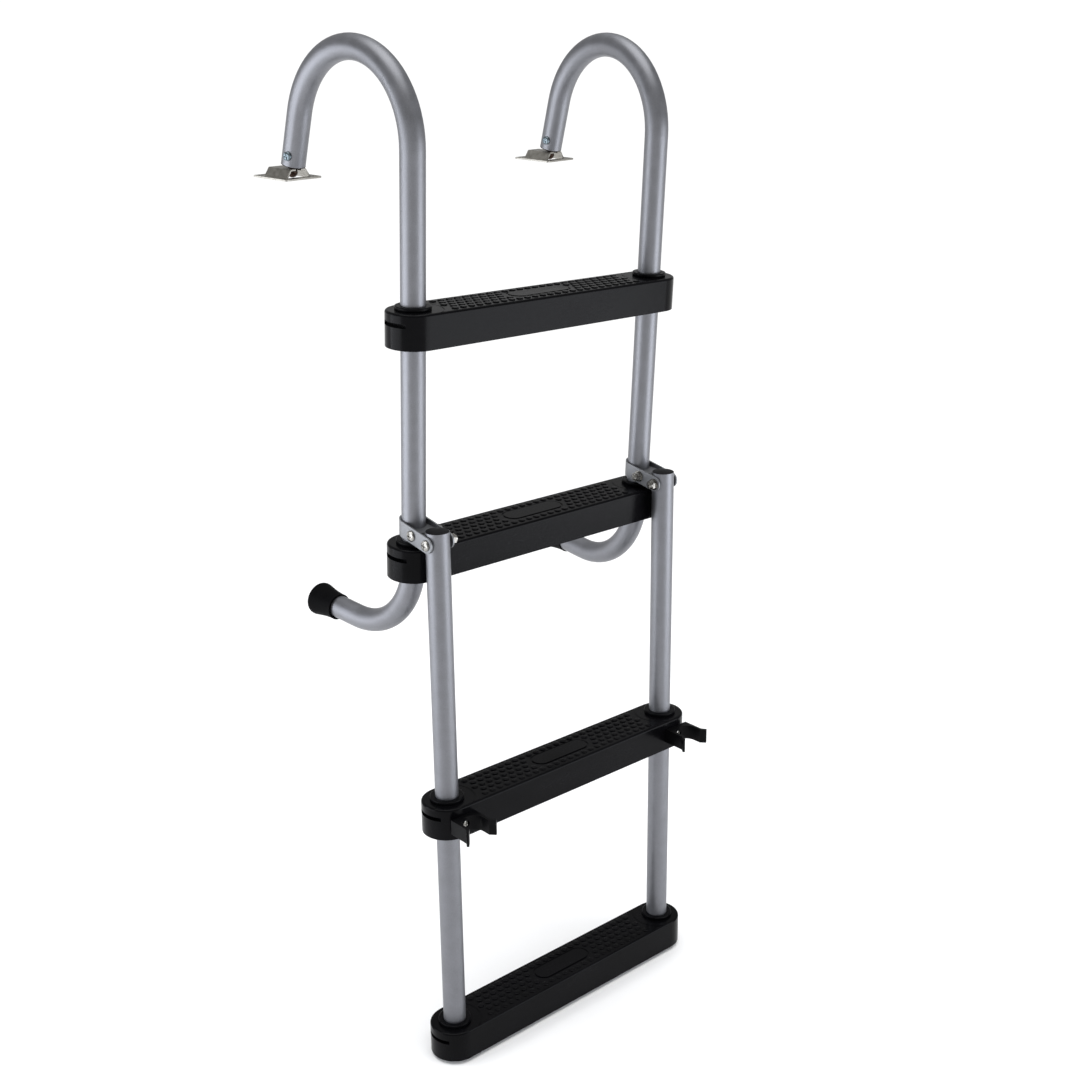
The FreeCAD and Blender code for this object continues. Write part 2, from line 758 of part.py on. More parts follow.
def bridge_profile(body):
    """Side view of the bridge: a sheet that rises from the plate, runs level and comes down."""
    sketch = new_sketch(body, "XZ_Plane", body.Name + "_bridge")
    right = [
        ("bridge_foot / 2 + bridge_lap", "0"),
        ("bridge_foot / 2 + bridge_lap", "plate_sheet"),
        ("bridge_foot / 2", "plate_sheet"),
        ("bridge_top / 2", "bridge_height"),
    ]
    under = [
        ("bridge_top / 2 - bridge_skew", "bridge_height - plate_sheet"),
        ("bridge_foot / 2 - bridge_skew", "0"),
    ]
    mirrored = [(f"-1 * ( {x} )", z) for x, z in reversed(right)]
    under_left = [(f"-1 * ( {x} )", z) for x, z in reversed(under)]
    return add_polygon(sketch, right + mirrored + under_left + under)


# ---------------------------------------------------------------- fold hinge

def block(name, length, width, height, placement):
    """Plain block with bound sizes."""
    item = doc.addObject("Part::Box", name)
    item.Placement = placement
    bind(item, Length=length, Width=width, Height=height)
    return item


def rod(name, radius, height, placement):
    """Plain round rod with bound sizes."""
    item = doc.addObject("Part::Cylinder", name)
    item.Placement = placement
    bind(item, Radius=radius, Height=height)
    return item


def joined(name, items):
    """Union of several solids."""
    item = doc.addObject("Part::MultiFuse", name)
    item.Shapes = items
    item.Refine = True
    return item


def cut_away(name, base, tool):
    """One solid less another."""
    item = doc.addObject("Part::Cut", name)
    item.Base = base
    item.Tool = tool
    return item


def shared_by(name, items):
    """The space that several solids share."""
    item = doc.addObject("Part::MultiCommon", name)
    item.Shapes = items
    return item


def bracket_frame(side):
    """Frame of one hinge bracket: on the fold axis, at the rail's X."""
    return Placement(fold_point() + Vector(rail_x(side), 0, 0), Rotation())


def clamp_spot():
    """Centre of the clamp bolt in the bracket frame, on the band's sloping middle line."""
    back = size("fold_forward") - size("clamp_forward")
    return Vector(0, back, back * math.tan(math.radians(size("bracket_slope"))))


def across_rail(spot, reach):
    """Placement of a rod that runs along X through a spot, starting at minus its reach."""
    return Placement(spot - X_AXIS * reach, along(X_AXIS))


def make_bracket(name, side):
    """Sheet strap wrapped round the back of the upper rail, its cheeks reaching the fold axis."""
    label = name + "_hinge_bracket"
    reach = size("bracket_gap") + size("bracket_sheet")
    gap = size("bracket_gap")
    nose = size("bracket_half")
    rail = Vector(0, size("fold_forward"), -2 * nose)
    tall = "4 * bracket_half"
    outer = joined(label + "_outer", [
        block(label + "_outer_block", "2 * ( bracket_gap + bracket_sheet )",
              "fold_forward + 2 * bracket_half", tall,
              Placement(Vector(-reach, -2 * nose, -2 * nose), Rotation())),
        rod(label + "_outer_wrap", "bracket_gap + bracket_sheet", tall, Placement(rail, Rotation())),
    ])
    inner = joined(label + "_inner", [
        block(label + "_inner_block", "2 * bracket_gap", "fold_forward + 2 * bracket_half",
              tall, Placement(Vector(-gap, -2 * nose, -2 * nose), Rotation())),
        rod(label + "_inner_wrap", "bracket_gap", tall, Placement(rail, Rotation())),
    ])
    tilt = Rotation(X_AXIS, size("bracket_slope"))
    band = joined(label + "_band", [
        block(label + "_band_block", "4 * bracket_gap", "2 * fold_forward", "2 * bracket_half",
              Placement(tilt.multVec(Vector(-2 * gap, 0, -nose)), tilt)),
        rod(label + "_band_nose", "bracket_half", "4 * bracket_gap", across_rail(Vector(), 2 * gap)),
    ])
    strap = shared_by(label + "_strap", [cut_away(label + "_shell", outer, inner), band])
    holes = joined(label + "_holes", [
        rod(label + "_fold_hole", "hinge_bolt / 2 + fit_gap", "4 * bracket_gap",
            across_rail(Vector(), 2 * gap)),
        rod(label + "_clamp_hole", "hinge_bolt / 2 + fit_gap", "4 * bracket_gap",
            across_rail(clamp_spot(), 2 * gap)),
    ])
    finish(label, cut_away(label + "_drilled", strap, holes), bracket_frame(side))


def make_saddle(name, side):
    """Spacer between the cheeks: hollowed for the upper rail and for the sweep of the lower rail's top."""
    label = name + "_bracket_saddle"
    half = size("bracket_gap") - size("fit_gap")
    front = size("fold_forward") - size("saddle_reach")
    bulk = block(label + "_block", "2 * ( bracket_gap - fit_gap )", "saddle_reach - saddle_cut",
                 "saddle_top - saddle_bottom",
                 Placement(Vector(-half, front, size("saddle_bottom")), Rotation()))
    half_cut = size("cutter_length") / 2
    waste = joined(label + "_waste", [
        rod(label + "_rail_seat", "rail_diameter / 2 + fit_gap", "cutter_length",
            Placement(Vector(0, size("fold_forward"), -half_cut), Rotation())),
        rod(label + "_sweep", "sweep_gap", "cutter_length", across_rail(Vector(), half_cut)),
        rod(label + "_bolt_hole", "hinge_bolt / 2 + fit_gap", "cutter_length",
            across_rail(clamp_spot(), half_cut)),
    ])
    finish(label, cut_away(label + "_shaped", bulk, waste), bracket_frame(side))


def make_hinge_bolts(label, spot):
    """The two bolts of one kind, heads on the outer cheeks."""
    items = []
    reach = size("bracket_gap") + size("bracket_sheet")
    for name, side in SIDES.items():
        seat = Placement(spot + X_AXIS * (side * reach), along(X_AXIS * side))
        items.append(make_screw(f"{label}_{name}", "bolt_head", "hinge_bolt", "bolt_head_height",
                                "2 * ( bracket_gap + bracket_sheet ) + washer_thickness + nut_height"
                                " + thread_showing",
                                bracket_frame(side).multiply(seat)))
    gather(label, items)


def make_washers(label, spot):
    """Washers against the inner cheeks."""
    items = []
    reach = size("bracket_gap") + size("bracket_sheet")
    for name, side in SIDES.items():
        place = bracket_frame(side).multiply(Placement(spot - X_AXIS * (side * reach), along(X_AXIS * -side)))
        disc = rod(f"{label}_{name}_disc", "washer_diameter / 2", "washer_thickness", place)
        hole = rod(f"{label}_{name}_hole", "hinge_bolt / 2 + fit_gap", "washer_thickness", place)
        items.append(cut_away(f"{label}_{name}", disc, hole))
    gather(label, items)


def make_nuts(label, spot):
    """Lock nuts: a hexagon with a round collar."""
    items = []
    reach = size("bracket_gap") + size("bracket_sheet") + size("washer_thickness")
    for name, side in SIDES.items():
        seat = Placement(spot - X_AXIS * (side * reach), along(X_AXIS * -side))
        place = bracket_frame(side).multiply(seat)
        hexagon = doc.addObject("Part::Prism", f"{label}_{name}_hexagon")
        hexagon.Polygon = 6
        hexagon.Placement = place
        bind(hexagon, Circumradius="nut_flats / sqrt( 3 )", Height=f"nut_height * {NUT_HEX_SHARE}")
        collar = rod(f"{label}_{name}_collar", f"nut_flats * {NUT_COLLAR_SHARE}", "nut_height", place)
        hole = rod(f"{label}_{name}_hole", "hinge_bolt / 2", "nut_height", place)
        solid = joined(f"{label}_{name}_solid", [hexagon, collar])
        items.append(cut_away(f"{label}_{name}", solid, hole))
    gather(label, items)


def make_bushes():
    """Spacer bushes through the lower rails, running on the fold bolts."""
    items = []
    for name, side in SIDES.items():
        start = Placement(Vector(-size("bush_length") / 2, 0, 0), along(X_AXIS))
        place = fold_frame(rail_x(side)).multiply(start)
        tube = rod(f"fold_bush_{name}_tube", "bush_diameter / 2", "bush_length", place)
        hole = rod(f"fold_bush_{name}_hole", "hinge_bolt / 2 + fit_gap", "bush_length", place)
        items.append(cut_away(f"fold_bush_{name}", tube, hole))
    gather("fold_bushes", items)


# ---------------------------------------------------------------- end fittings and clips

def make_standoff_cap(name, side):
    """Flared rubber tip on the end of the standoff."""
    body = new_body(name + "_standoff_cap_body")
    mouth = "rail_diameter / 2 + fit_gap / 2"
    sleeve = f"( {mouth} + cap_wall )"
    flare = [(f"{sleeve} + ( cap_end / 2 - {sleeve} ) * {across}", f"cap_length * {up}")
             for across, up in TIP_OUTLINE]
    revolve(body, [(mouth, "0"), *flare, ("0", "cap_length"), ("0", "cap_socket"), (mouth, "cap_socket")])
    tip = Vector(0, size("standoff_radius") + size("standoff_leg") - size("cap_socket"),
                 size("standoff_start") - size("standoff_radius"))
    finish(name + "_standoff_cap", body, rail_frame(side).multiply(Placement(tip, along(Y_AXIS))))


def make_rail_cap(name, side):
    """Push-in cap in the top of a lower rail."""
    body = new_body(name + "_rail_cap_body")
    stem = "rail_diameter / 2 - rail_wall - plug_gap"
    revolve(body, [
        ("0", "-1 * rail_cap_stem"),
        (f"{stem} - stem_chamfer", "-1 * rail_cap_stem"),
        (stem, "stem_chamfer - rail_cap_stem"),
        (stem, "0"),
        ("rail_cap / 2", "0"),
        ("rail_cap / 2", "rail_cap_rise / 3"),
        ("rail_cap / 2 - rail_cap_edge", "rail_cap_rise * 0.8"),
        ("0", "rail_cap_rise"),
    ])
    finish(name + "_rail_cap", body, fold_frame(rail_x(side), size("rail_top")))


def make_clip(name, side):
    """Storage clip on the front of the third step; it holds the upper rail when the ladder is folded."""
    body = new_body(name + "_storage_clip_body")
    face = "-1 * step_depth / 2"
    grip = "-1 * clip_forward"
    right = [
        ("clip_outer / 2", face),
        ("clip_outer / 2", f"{grip} - clip_arm + clip_root"),
        ("clip_flare / 2", f"{grip} - clip_lip + clip_lip_edge"),
        ("clip_flare / 2 - clip_lip_thickness", f"{grip} - clip_lip"),
        ("clip_bore / 2", f"{grip} - clip_arm"),
        ("clip_bore / 2", grip),
    ]
    left = [(f"-1 * ( {x} )", y) for x, y in reversed(right)]
    outline = add_polygon(new_sketch(body, "XY_Plane", body.Name + "_outline"), right + left)
    pad(body, outline, "clip_height", midplane=True)
    bore = Placement(Vector(0, -size("clip_forward"), -size("clip_height")), Rotation())
    cylinder(body, "Subtractive", body.Name + "_bore", "clip_bore / 2", "2 * clip_height", bore)
    seat = Placement(Vector(0, -size("step_depth") / 2 - size("clip_seat"), 0), along(-1 * Y_AXIS))
    cylinder(body, "Subtractive", body.Name + "_seat", "clip_screw_head / 2 + fit_gap",
             "clip_pocket", seat)
    hole = Placement(Vector(0, -size("step_depth") / 2 + size("cutter_excess"), 0), along(-1 * Y_AXIS))
    cylinder(body, "Subtractive", body.Name + "_hole", "clip_screw / 2 + fit_gap", "clip_pocket", hole)
    finish(name + "_storage_clip", body, fold_frame(rail_x(side), size("third_step") - size("clip_drop")))


def make_clip_screws():
    """Screws that hold the storage clips to the third step."""
    items = []
    for name, side in SIDES.items():
        frame = fold_frame(rail_x(side), size("third_step") - size("clip_drop"))
        seat = Placement(Vector(0, -size("step_depth") / 2 - size("clip_seat"), 0), along(-1 * Y_AXIS))
        items.append(make_screw(f"clip_screw_{name}", "clip_screw_head", "clip_screw",
                                "clip_screw_height", "clip_screw_length - clip_root + clip_seat",
                                frame.multiply(seat)))
    gather("clip_screws", items)


# ---------------------------------------------------------------- assembly

def build_upper_section():
    """Everything that stays still when the ladder hangs from the boat."""
    for name, side in SIDES.items():
        make_upper_rail(name, side)
        make_bracket(name, side)
        make_saddle(name, side)
        make_standoff_cap(name, side)
        make_plug(name, side)
    for label in ("top_step", "second_step"):
        make_step(label, step_frame(label), closed=False)
        make_collars(label + "_collars", step_frame(label))
    make_step_screws("upper_step_screws", [step_frame("top_step"), step_frame("second_step")])
    for label, spot in (("clamp", clamp_spot()), ("fold", Vector())):
        make_hinge_bolts(label + "_bolts", spot)
        make_washers(label + "_washers", spot)
        make_nuts(label + "_nuts", spot)
    make_cross_screws()


def build_lower_section():
    """Everything that folds up on the fold axis."""
    for name, side in SIDES.items():
        make_lower_rail(name, side)
        make_rail_cap(name, side)
        make_clip(name, side)
    for label in ("third_step", "bottom_step"):
        frame = fold_frame(height=size(label))
        make_step(label, frame, closed=label == "bottom_step", with_clips=label == "third_step")
        make_collars(label + "_collars", frame)
    make_step_screws("lower_step_screws", [fold_frame(height=size("third_step")),
                                           fold_frame(height=size("bottom_step"))])
    make_bushes()
    make_clip_screws()


def build_swivels():
    """The studs and deck plates at the ends of the hooks."""
    for name, side in SIDES.items():
        make_stud(name, side)
        make_deck_plate(name, side)


def check_and_export():
    """Check every object and every sub-part, then write one file for each sub-part."""
    doc.recompute()
    for item in doc.Objects:
        if "Invalid" in item.State or "Error" in item.State:
            raise ValueError(f"{item.Label} did not compute: {item.State}")
    for label, item in sub_parts.items():
        if item.Shape.isNull() or not item.Shape.isValid() or not item.Shape.Solids:
            raise ValueError(label + " has no valid solid")
    os.makedirs("parts", exist_ok=True)
    for label, item in sub_parts.items():
        item.Shape.exportStep(f"parts/{label}.step")
        print(label, len(item.Shape.Solids), "solids", round(item.Shape.Volume), "mm3")


fill_sheet()
build_upper_section()
build_lower_section()
build_swivels()
check_and_export()
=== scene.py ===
"""Looks of a folding boat boarding ladder, built round its fixed frame.

Metres, +Z up, +X along the steps, +Y towards the boat.  The origin lies at the deck's level,
midway between the two swivel balls.  Each sub-assembly is a class that builds its own pieces and gives
them and its frame nodes their finishes; every finish is a small class of its own.
"""

import json
import logging
import math
from dataclasses import dataclass
from enum import Enum

import bmesh
import bpy
import numpy as np
from mathutils import Matrix, Vector

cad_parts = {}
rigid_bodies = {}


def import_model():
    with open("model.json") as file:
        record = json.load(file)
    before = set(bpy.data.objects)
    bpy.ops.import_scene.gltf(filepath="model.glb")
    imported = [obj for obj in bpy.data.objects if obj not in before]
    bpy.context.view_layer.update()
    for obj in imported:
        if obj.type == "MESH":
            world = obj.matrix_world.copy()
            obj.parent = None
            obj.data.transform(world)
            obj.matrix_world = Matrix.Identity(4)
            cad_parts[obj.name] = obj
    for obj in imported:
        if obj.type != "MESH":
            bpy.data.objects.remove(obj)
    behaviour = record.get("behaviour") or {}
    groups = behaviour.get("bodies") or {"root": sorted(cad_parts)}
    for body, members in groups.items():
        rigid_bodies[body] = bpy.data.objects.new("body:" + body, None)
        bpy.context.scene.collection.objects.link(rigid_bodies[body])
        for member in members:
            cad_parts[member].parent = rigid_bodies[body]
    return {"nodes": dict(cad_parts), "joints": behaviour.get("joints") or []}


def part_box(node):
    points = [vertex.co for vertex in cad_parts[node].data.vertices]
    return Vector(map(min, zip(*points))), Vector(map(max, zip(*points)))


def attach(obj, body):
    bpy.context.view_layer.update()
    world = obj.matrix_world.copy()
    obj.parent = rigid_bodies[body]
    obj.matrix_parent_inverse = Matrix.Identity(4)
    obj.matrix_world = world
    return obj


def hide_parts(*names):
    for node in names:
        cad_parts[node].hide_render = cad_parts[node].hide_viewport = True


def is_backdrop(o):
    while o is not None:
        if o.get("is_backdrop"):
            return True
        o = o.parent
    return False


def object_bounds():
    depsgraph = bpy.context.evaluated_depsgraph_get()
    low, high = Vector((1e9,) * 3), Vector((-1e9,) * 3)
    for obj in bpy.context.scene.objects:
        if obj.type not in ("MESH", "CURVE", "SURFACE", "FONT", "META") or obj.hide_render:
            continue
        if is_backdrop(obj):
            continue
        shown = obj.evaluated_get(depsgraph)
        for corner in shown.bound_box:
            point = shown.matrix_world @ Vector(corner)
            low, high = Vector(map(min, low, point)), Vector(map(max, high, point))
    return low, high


log = logging.getLogger("boarding_ladder")

MM = 0.001
FULL_TURN = 2 * math.pi

MERGE_DISTANCE = 0.002 * MM
FLAT_ANGLE = 0.6
SHARP_ANGLE = 30.0

Colour = tuple[float, float, float]
Outline = list[tuple[float, float]]
Socket = bpy.types.NodeSocket


class Body(Enum):
    """Bodies of the frame that pieces ride on."""

    UPPER = "upper_section"
    LOWER = "lower_section"
    LEFT_PLATE = "left_plate"
    RIGHT_PLATE = "right_plate"


class Side(Enum):
    """The two sides of the ladder, with the sign of their X."""

    LEFT = -1
    RIGHT = 1

    @property
    def word(self) -> str:
        """Name of the side in node names.

        Returns:
            The word left or right.
        """
        return self.name.lower()

    @property
    def plate(self) -> Body:
        """Body of the side's deck plate.

        Returns:
            The body.
        """
        return Body.LEFT_PLATE if self is Side.LEFT else Body.RIGHT_PLATE


# ------------------------------------------------------------------ node boards and finishes

class Board:
    """Node tree of one material, with short ways of adding to it."""

    def __init__(self, name: str) -> None:
        """Start a material that has one principled shader.

        Args:
            name: Name of the material.
        """
        self.material = bpy.data.materials.new(name)
        self.material.use_nodes = True
        self.nodes = self.material.node_tree.nodes
        self.links = self.material.node_tree.links
        self.shader = next(node for node in self.nodes if node.type == "BSDF_PRINCIPLED")
        self.place = self.nodes.new("ShaderNodeTexCoord").outputs["Object"]

    def constant(self, **values: float) -> None:
        """Set plain values on the shader's own sockets.

        Args:
            values: Value of each socket, by its name with underscores for spaces.
        """
        for name, value in values.items():
            self.shader.inputs[name.replace("_", " ")].default_value = value

    def feed(self, name: str, source: Socket) -> None:
        """Lead a pattern to one of the shader's sockets.

        Args:
            name: Name of the socket.
            source: The pattern.
        """
        self.links.new(source, self.shader.inputs[name])

    def stretched(self, x: float, y: float, z: float) -> Socket:
        """Object coordinates, stretched along the axes.

        Args:
            x, y, z: Factors along the three axes.

        Returns:
            The socket that holds the stretched place.
        """
        node = self.nodes.new("ShaderNodeMapping")
        node.inputs["Scale"].default_value = (x, y, z)
        self.links.new(self.place, node.inputs["Vector"])
        return node.outputs["Vector"]

    def noise(self, feature: float, detail: float = 3.0, share: float = 0.5,
              place: Socket | None = None) -> Socket:
        """Cloudy pattern between 0 and 1.

        Args:
            feature: Size of one feature, in metres.
            detail: Octaves of finer detail.
            share: How strong the finer octaves are.
            place: Coordinates to read, or None for the plain object coordinates.

        Returns:
            The pattern's socket.
        """
        node = self.nodes.new("ShaderNodeTexNoise")
        node.inputs["Scale"].default_value = 1.0 / feature
        node.inputs["Detail"].default_value = detail
        node.inputs["Roughness"].default_value = share
        self.links.new(place or self.place, node.inputs["Vector"])
        return node.outputs["Fac"]

    def cells(self, feature: float) -> Socket:
        """Distance to the nearest of many scattered points, for pits and sparks.

        Args:
            feature: Spacing of the points, in metres.

        Returns:
            The pattern's socket.
        """
        node = self.nodes.new("ShaderNodeTexVoronoi")
        node.inputs["Scale"].default_value = 1.0 / feature
        self.links.new(self.place, node.inputs["Vector"])
        return node.outputs["Distance"]

    def spread(self, source: Socket, low: float, high: float,
               start: float = 0.3, end: float = 0.7) -> Socket:
        """Map a pattern from one range to another, held at its ends.

        Args:
            source: The pattern.
            low, high: Values at the two ends of the result.
            start, end: Values of the pattern that give them.

        Returns:
            The mapped pattern.
        """
        node = self.nodes.new("ShaderNodeMapRange")
        for name, value in (("From Min", start), ("From Max", end), ("To Min", low), ("To Max", high)):
            node.inputs[name].default_value = value
        self.links.new(source, node.inputs["Value"])
        return node.outputs["Result"]

    def blend(self, factor: Socket, first: Colour, second: Colour) -> Socket:
        """Colour that runs from the first to the second as a pattern goes from 0 to 1.

        Args:
            factor: The pattern.
            first, second: Linear colours.

        Returns:
            The colour's socket.
        """
        node = self.nodes.new("ShaderNodeMix")
        node.data_type = "RGBA"
        colours = [socket for socket in node.inputs if socket.type == "RGBA"]
        for socket, colour in zip(colours, (first, second)):
            socket.default_value = (*colour, 1.0)
        self.links.new(factor, node.inputs["Factor"])
        return next(socket for socket in node.outputs if socket.type == "RGBA")

    def total(self, first: Socket, second: Socket,
              weight: float) -> Socket:
        """First pattern plus a share of the second.

        Args:
            first, second: The patterns.
            weight: Share of the second.

        Returns:
            The sum's socket.
        """
        node = self.nodes.new("ShaderNodeMath")
        node.operation = "MULTIPLY_ADD"
        self.links.new(second, node.inputs[0])
        node.inputs[1].default_value = weight
        self.links.new(first, node.inputs[2])
        return node.outputs["Value"]

    def relief(self, height: Socket, depth: float, strength: float = 1.0) -> None:
        """Lead a height pattern to the shader's normal.

        Args:
            height: The pattern.
            depth: Rise between the pattern's 0 and 1, in metres.
            strength: How much of it is used.
        """
        node = self.nodes.new("ShaderNodeBump")
        node.inputs["Strength"].default_value = strength
        node.inputs["Distance"].default_value = depth
        self.links.new(height, node.inputs["Height"])
        self.feed("Normal", node.outputs["Normal"])


@dataclass(frozen=True)
class Finish:
    """What every finish has: a slot of the record, two tones, a range of roughness, a variant's name."""

    slot: str
    deep: Colour
    pale: Colour
    glossy: float
    dull: float
    variant: str = ""

    @property
    def name(self) -> str:
        """Name of the finish's material.

        Returns:
            The slot's name with the variant's.
        """
        return self.slot + self.variant + "_finish"

    def material(self) -> bpy.types.Material:
        """The finish's material, made once and then shared.

        Returns:
            The material.
        """
        return bpy.data.materials.get(self.name) or self.mix(Board(self.name))

    def mix(self, board: Board) -> bpy.types.Material:
        """Fill a new node tree; each kind of finish has its own.

        Args:
            board: The tree to fill.

        Returns:
            The board's material.
        """
        raise NotImplementedError


@dataclass(frozen=True)
class SatinMetal(Finish):
    """Fine-grained satin aluminium: a mottled skin with faint drawing lines."""

    grain: float = 0.9 * MM
    cloud: float = 14 * MM
    line: float = 0.5 * MM
    line_stretch: float = 0.02
    depth: float = 0.012 * MM
    metallic: float = 0.85
    cloud_in_tone: float = 0.6
    grain_in_dullness: float = 0.5
    line_in_relief: float = 0.8

    def mix(self, board: Board) -> bpy.types.Material:
        """Grain and cloud set the tone and the roughness, grain and lines the relief.

        Args:
            board: The tree to fill.

        Returns:
            The board's material.
        """
        grain = board.noise(self.grain, detail=4.0, share=0.6)
        cloud = board.noise(self.cloud, detail=3.0)
        lines = board.noise(self.line, detail=2.0, place=board.stretched(1.0, 1.0, self.line_stretch))
        tone = board.spread(board.total(grain, cloud, self.cloud_in_tone), 0.0, 1.0, start=0.55, end=1.05)
        dullness = board.total(cloud, grain, self.grain_in_dullness)
        board.feed("Base Color", board.blend(tone, self.deep, self.pale))
        board.feed("Roughness", board.spread(dullness, self.glossy, self.dull, start=0.5, end=1.0))
        board.constant(Metallic=self.metallic)
        board.relief(board.total(grain, lines, self.line_in_relief), self.depth)
        return board.material


@dataclass(frozen=True)
class MouldedPlastic(Finish):
    """Moulded plastic: a fine spark texture, flow marks and small handling scuffs."""

    spark: float = 0.35 * MM
    flow: float = 30 * MM
    flow_stretch: float = 0.35
    scuff: float = 2.5 * MM
    scuff_stretch: float = 0.3
    flow_in_dullness: float = 0.8
    depth: float = 0.02 * MM
    index: float = 1.15

    def mix(self, board: Board) -> bpy.types.Material:
        """Flow marks set the tone, scuffs and flow marks the roughness, sparks the relief.

        Args:
            board: The tree to fill.

        Returns:
            The board's material.
        """
        spark = board.noise(self.spark, detail=2.0)
        flow = board.noise(self.flow, 4.0, 0.55, board.stretched(self.flow_stretch, 1.0, 1.0))
        scuff = board.noise(self.scuff, 5.0, 0.7, board.stretched(self.scuff_stretch, 1.0, 1.0))
        dullness = board.total(scuff, flow, self.flow_in_dullness)
        board.feed("Base Color", board.blend(board.spread(flow, 0.0, 1.0), self.deep, self.pale))
        board.feed("Roughness", board.spread(dullness, self.glossy, self.dull, start=0.7, end=1.1))
        board.constant(IOR=self.index)
        board.relief(spark, self.depth)
        return board.material


@dataclass(frozen=True)
class MattRubber(Finish):
    """Soft rubber: a pitted matt skin with pale rubbed patches."""

    pit: float = 0.6 * MM
    patch: float = 9 * MM
    depth: float = 0.05 * MM
    index: float = 1.1

    def mix(self, board: Board) -> bpy.types.Material:
        """Pits set the relief, patches the tone and the roughness.

        Args:
            board: The tree to fill.

        Returns:
            The board's material.
        """
        patch = board.noise(self.patch, detail=4.0, share=0.6)
        board.feed("Base Color", board.blend(board.spread(patch, 0.0, 1.0), self.deep, self.pale))
        board.feed("Roughness", board.spread(patch, self.glossy, self.dull))
        board.constant(IOR=self.index)
        board.relief(board.cells(self.pit), self.depth)
        return board.material


@dataclass(frozen=True)
class Steel(Finish):
    """Bare or plated steel: rolled lines, scratches and a slight stain."""

    line: float = 0.25 * MM
    line_stretch: float = 0.05
    scratch_stretch: tuple[float, float, float] = (1.0, 0.03, 0.2)
    stain: float = 5 * MM
    depth: float = 0.008 * MM
    stain_in_dullness: float = 0.7
    scratch_in_relief: float = 0.5

    def mix(self, board: Board) -> bpy.types.Material:
        """Stain sets the tone, stain and lines the roughness, lines and scratches the relief.

        Args:
            board: The tree to fill.

        Returns:
            The board's material.
        """
        stain = board.noise(self.stain, detail=4.0, share=0.6)
        lines = board.noise(self.line, 3.0, 0.6, board.stretched(self.line_stretch, 1.0, 1.0))
        scratch = board.noise(self.line, detail=2.0, place=board.stretched(*self.scratch_stretch))
        dullness = board.total(lines, stain, self.stain_in_dullness)
        board.feed("Base Color", board.blend(board.spread(stain, 0.0, 1.0), self.deep, self.pale))
        board.feed("Roughness", board.spread(dullness, self.glossy, self.dull, start=0.6, end=1.1))
        board.constant(Metallic=1.0)
        board.relief(board.total(lines, scratch, self.scratch_in_relief), self.depth)
        return board.material


RAIL = SatinMetal("rail_aluminium", (0.165, 0.168, 0.181), (0.215, 0.219, 0.237), 0.40, 0.50)
BRACKET = SatinMetal("hinge_aluminium", (0.175, 0.179, 0.188), (0.235, 0.240, 0.251), 0.42, 0.54,
                     grain=0.7 * MM, depth=0.03 * MM)
STEP = MouldedPlastic("step_plastic", (0.0018, 0.0018, 0.0022), (0.0032, 0.0031, 0.0039), 0.16, 0.28)
COLLAR = MouldedPlastic("collar_plastic", (0.0014, 0.0014, 0.0018), (0.0028, 0.0028, 0.0036),
                        0.24, 0.38, depth=0.012 * MM)
CLIP = MouldedPlastic("clip_plastic", (0.0018, 0.0018, 0.0021), (0.0032, 0.0032, 0.0038), 0.28, 0.42)
CAP = MouldedPlastic("cap_plastic", (0.0035, 0.0034, 0.0042), (0.0065, 0.0063, 0.0075), 0.38, 0.52)
# Dark plastic of the plugs, their lips and the fold bushes; its brown tone is partly the plastic's own and
# partly painted shade for the shade round the hook ends.
PLUG_PLASTIC_AND_SHADE = MouldedPlastic("plug_plastic", (0.008, 0.0045, 0.0035), (0.022, 0.013, 0.010), 0.40, 0.60)
TIP = MattRubber("tip_rubber", (0.0012, 0.0012, 0.0015), (0.0028, 0.0028, 0.0033), 0.50, 0.68)
SHEET = Steel("stainless_sheet", (0.215, 0.206, 0.186), (0.330, 0.318, 0.290), 0.32, 0.46)
BRIGHT = Steel("stainless_steel", (0.22, 0.215, 0.20), (0.36, 0.35, 0.33), 0.18, 0.32)
# Stainless steel of the swivel studs coloured dark brown: painted shade for the studs that sit in shadow
# under the deck plates' bridges.
STUD_STEEL_PAINTED_SHADE = Steel("stainless_steel", (0.022, 0.013, 0.009), (0.050, 0.032, 0.024), 0.30, 0.45, variant="_dark")
ZINC = Steel("zinc_steel", (0.10, 0.125, 0.14), (0.16, 0.195, 0.215), 0.26, 0.40, stain=3 * MM)


# ------------------------------------------------------------------ places read from the frame

@dataclass(frozen=True)
class Place:
    """A place in the frame: an origin and three unit axes, the rows of a 3 x 3 array."""

    origin: np.ndarray
    axes: np.ndarray

    def carry(self, points: np.ndarray) -> np.ndarray:
        """Points of this place, n x 3, put into the frame.

        Args:
            points: Points as this place sees them, n x 3.

        Returns:
            The points in the frame, n x 3.
        """
        return self.origin + points @ self.axes

    def local(self, points: np.ndarray) -> np.ndarray:
        """Points of the frame, n x 3, as this place sees them.

        Args:
            points: Points in the frame, n x 3.

        Returns:
            The points as this place sees them, n x 3.
        """
        return (points - self.origin) @ self.axes.T

    def moved(self, x: float, y: float, z: float) -> "Place":
        """The same axes, with the origin moved along them.

        Args:
            x, y, z: How far along each of the place's own axes, in metres.

        Returns:
            The moved place.
        """
        return Place(self.carry(np.array([x, y, z], float)), self.axes)


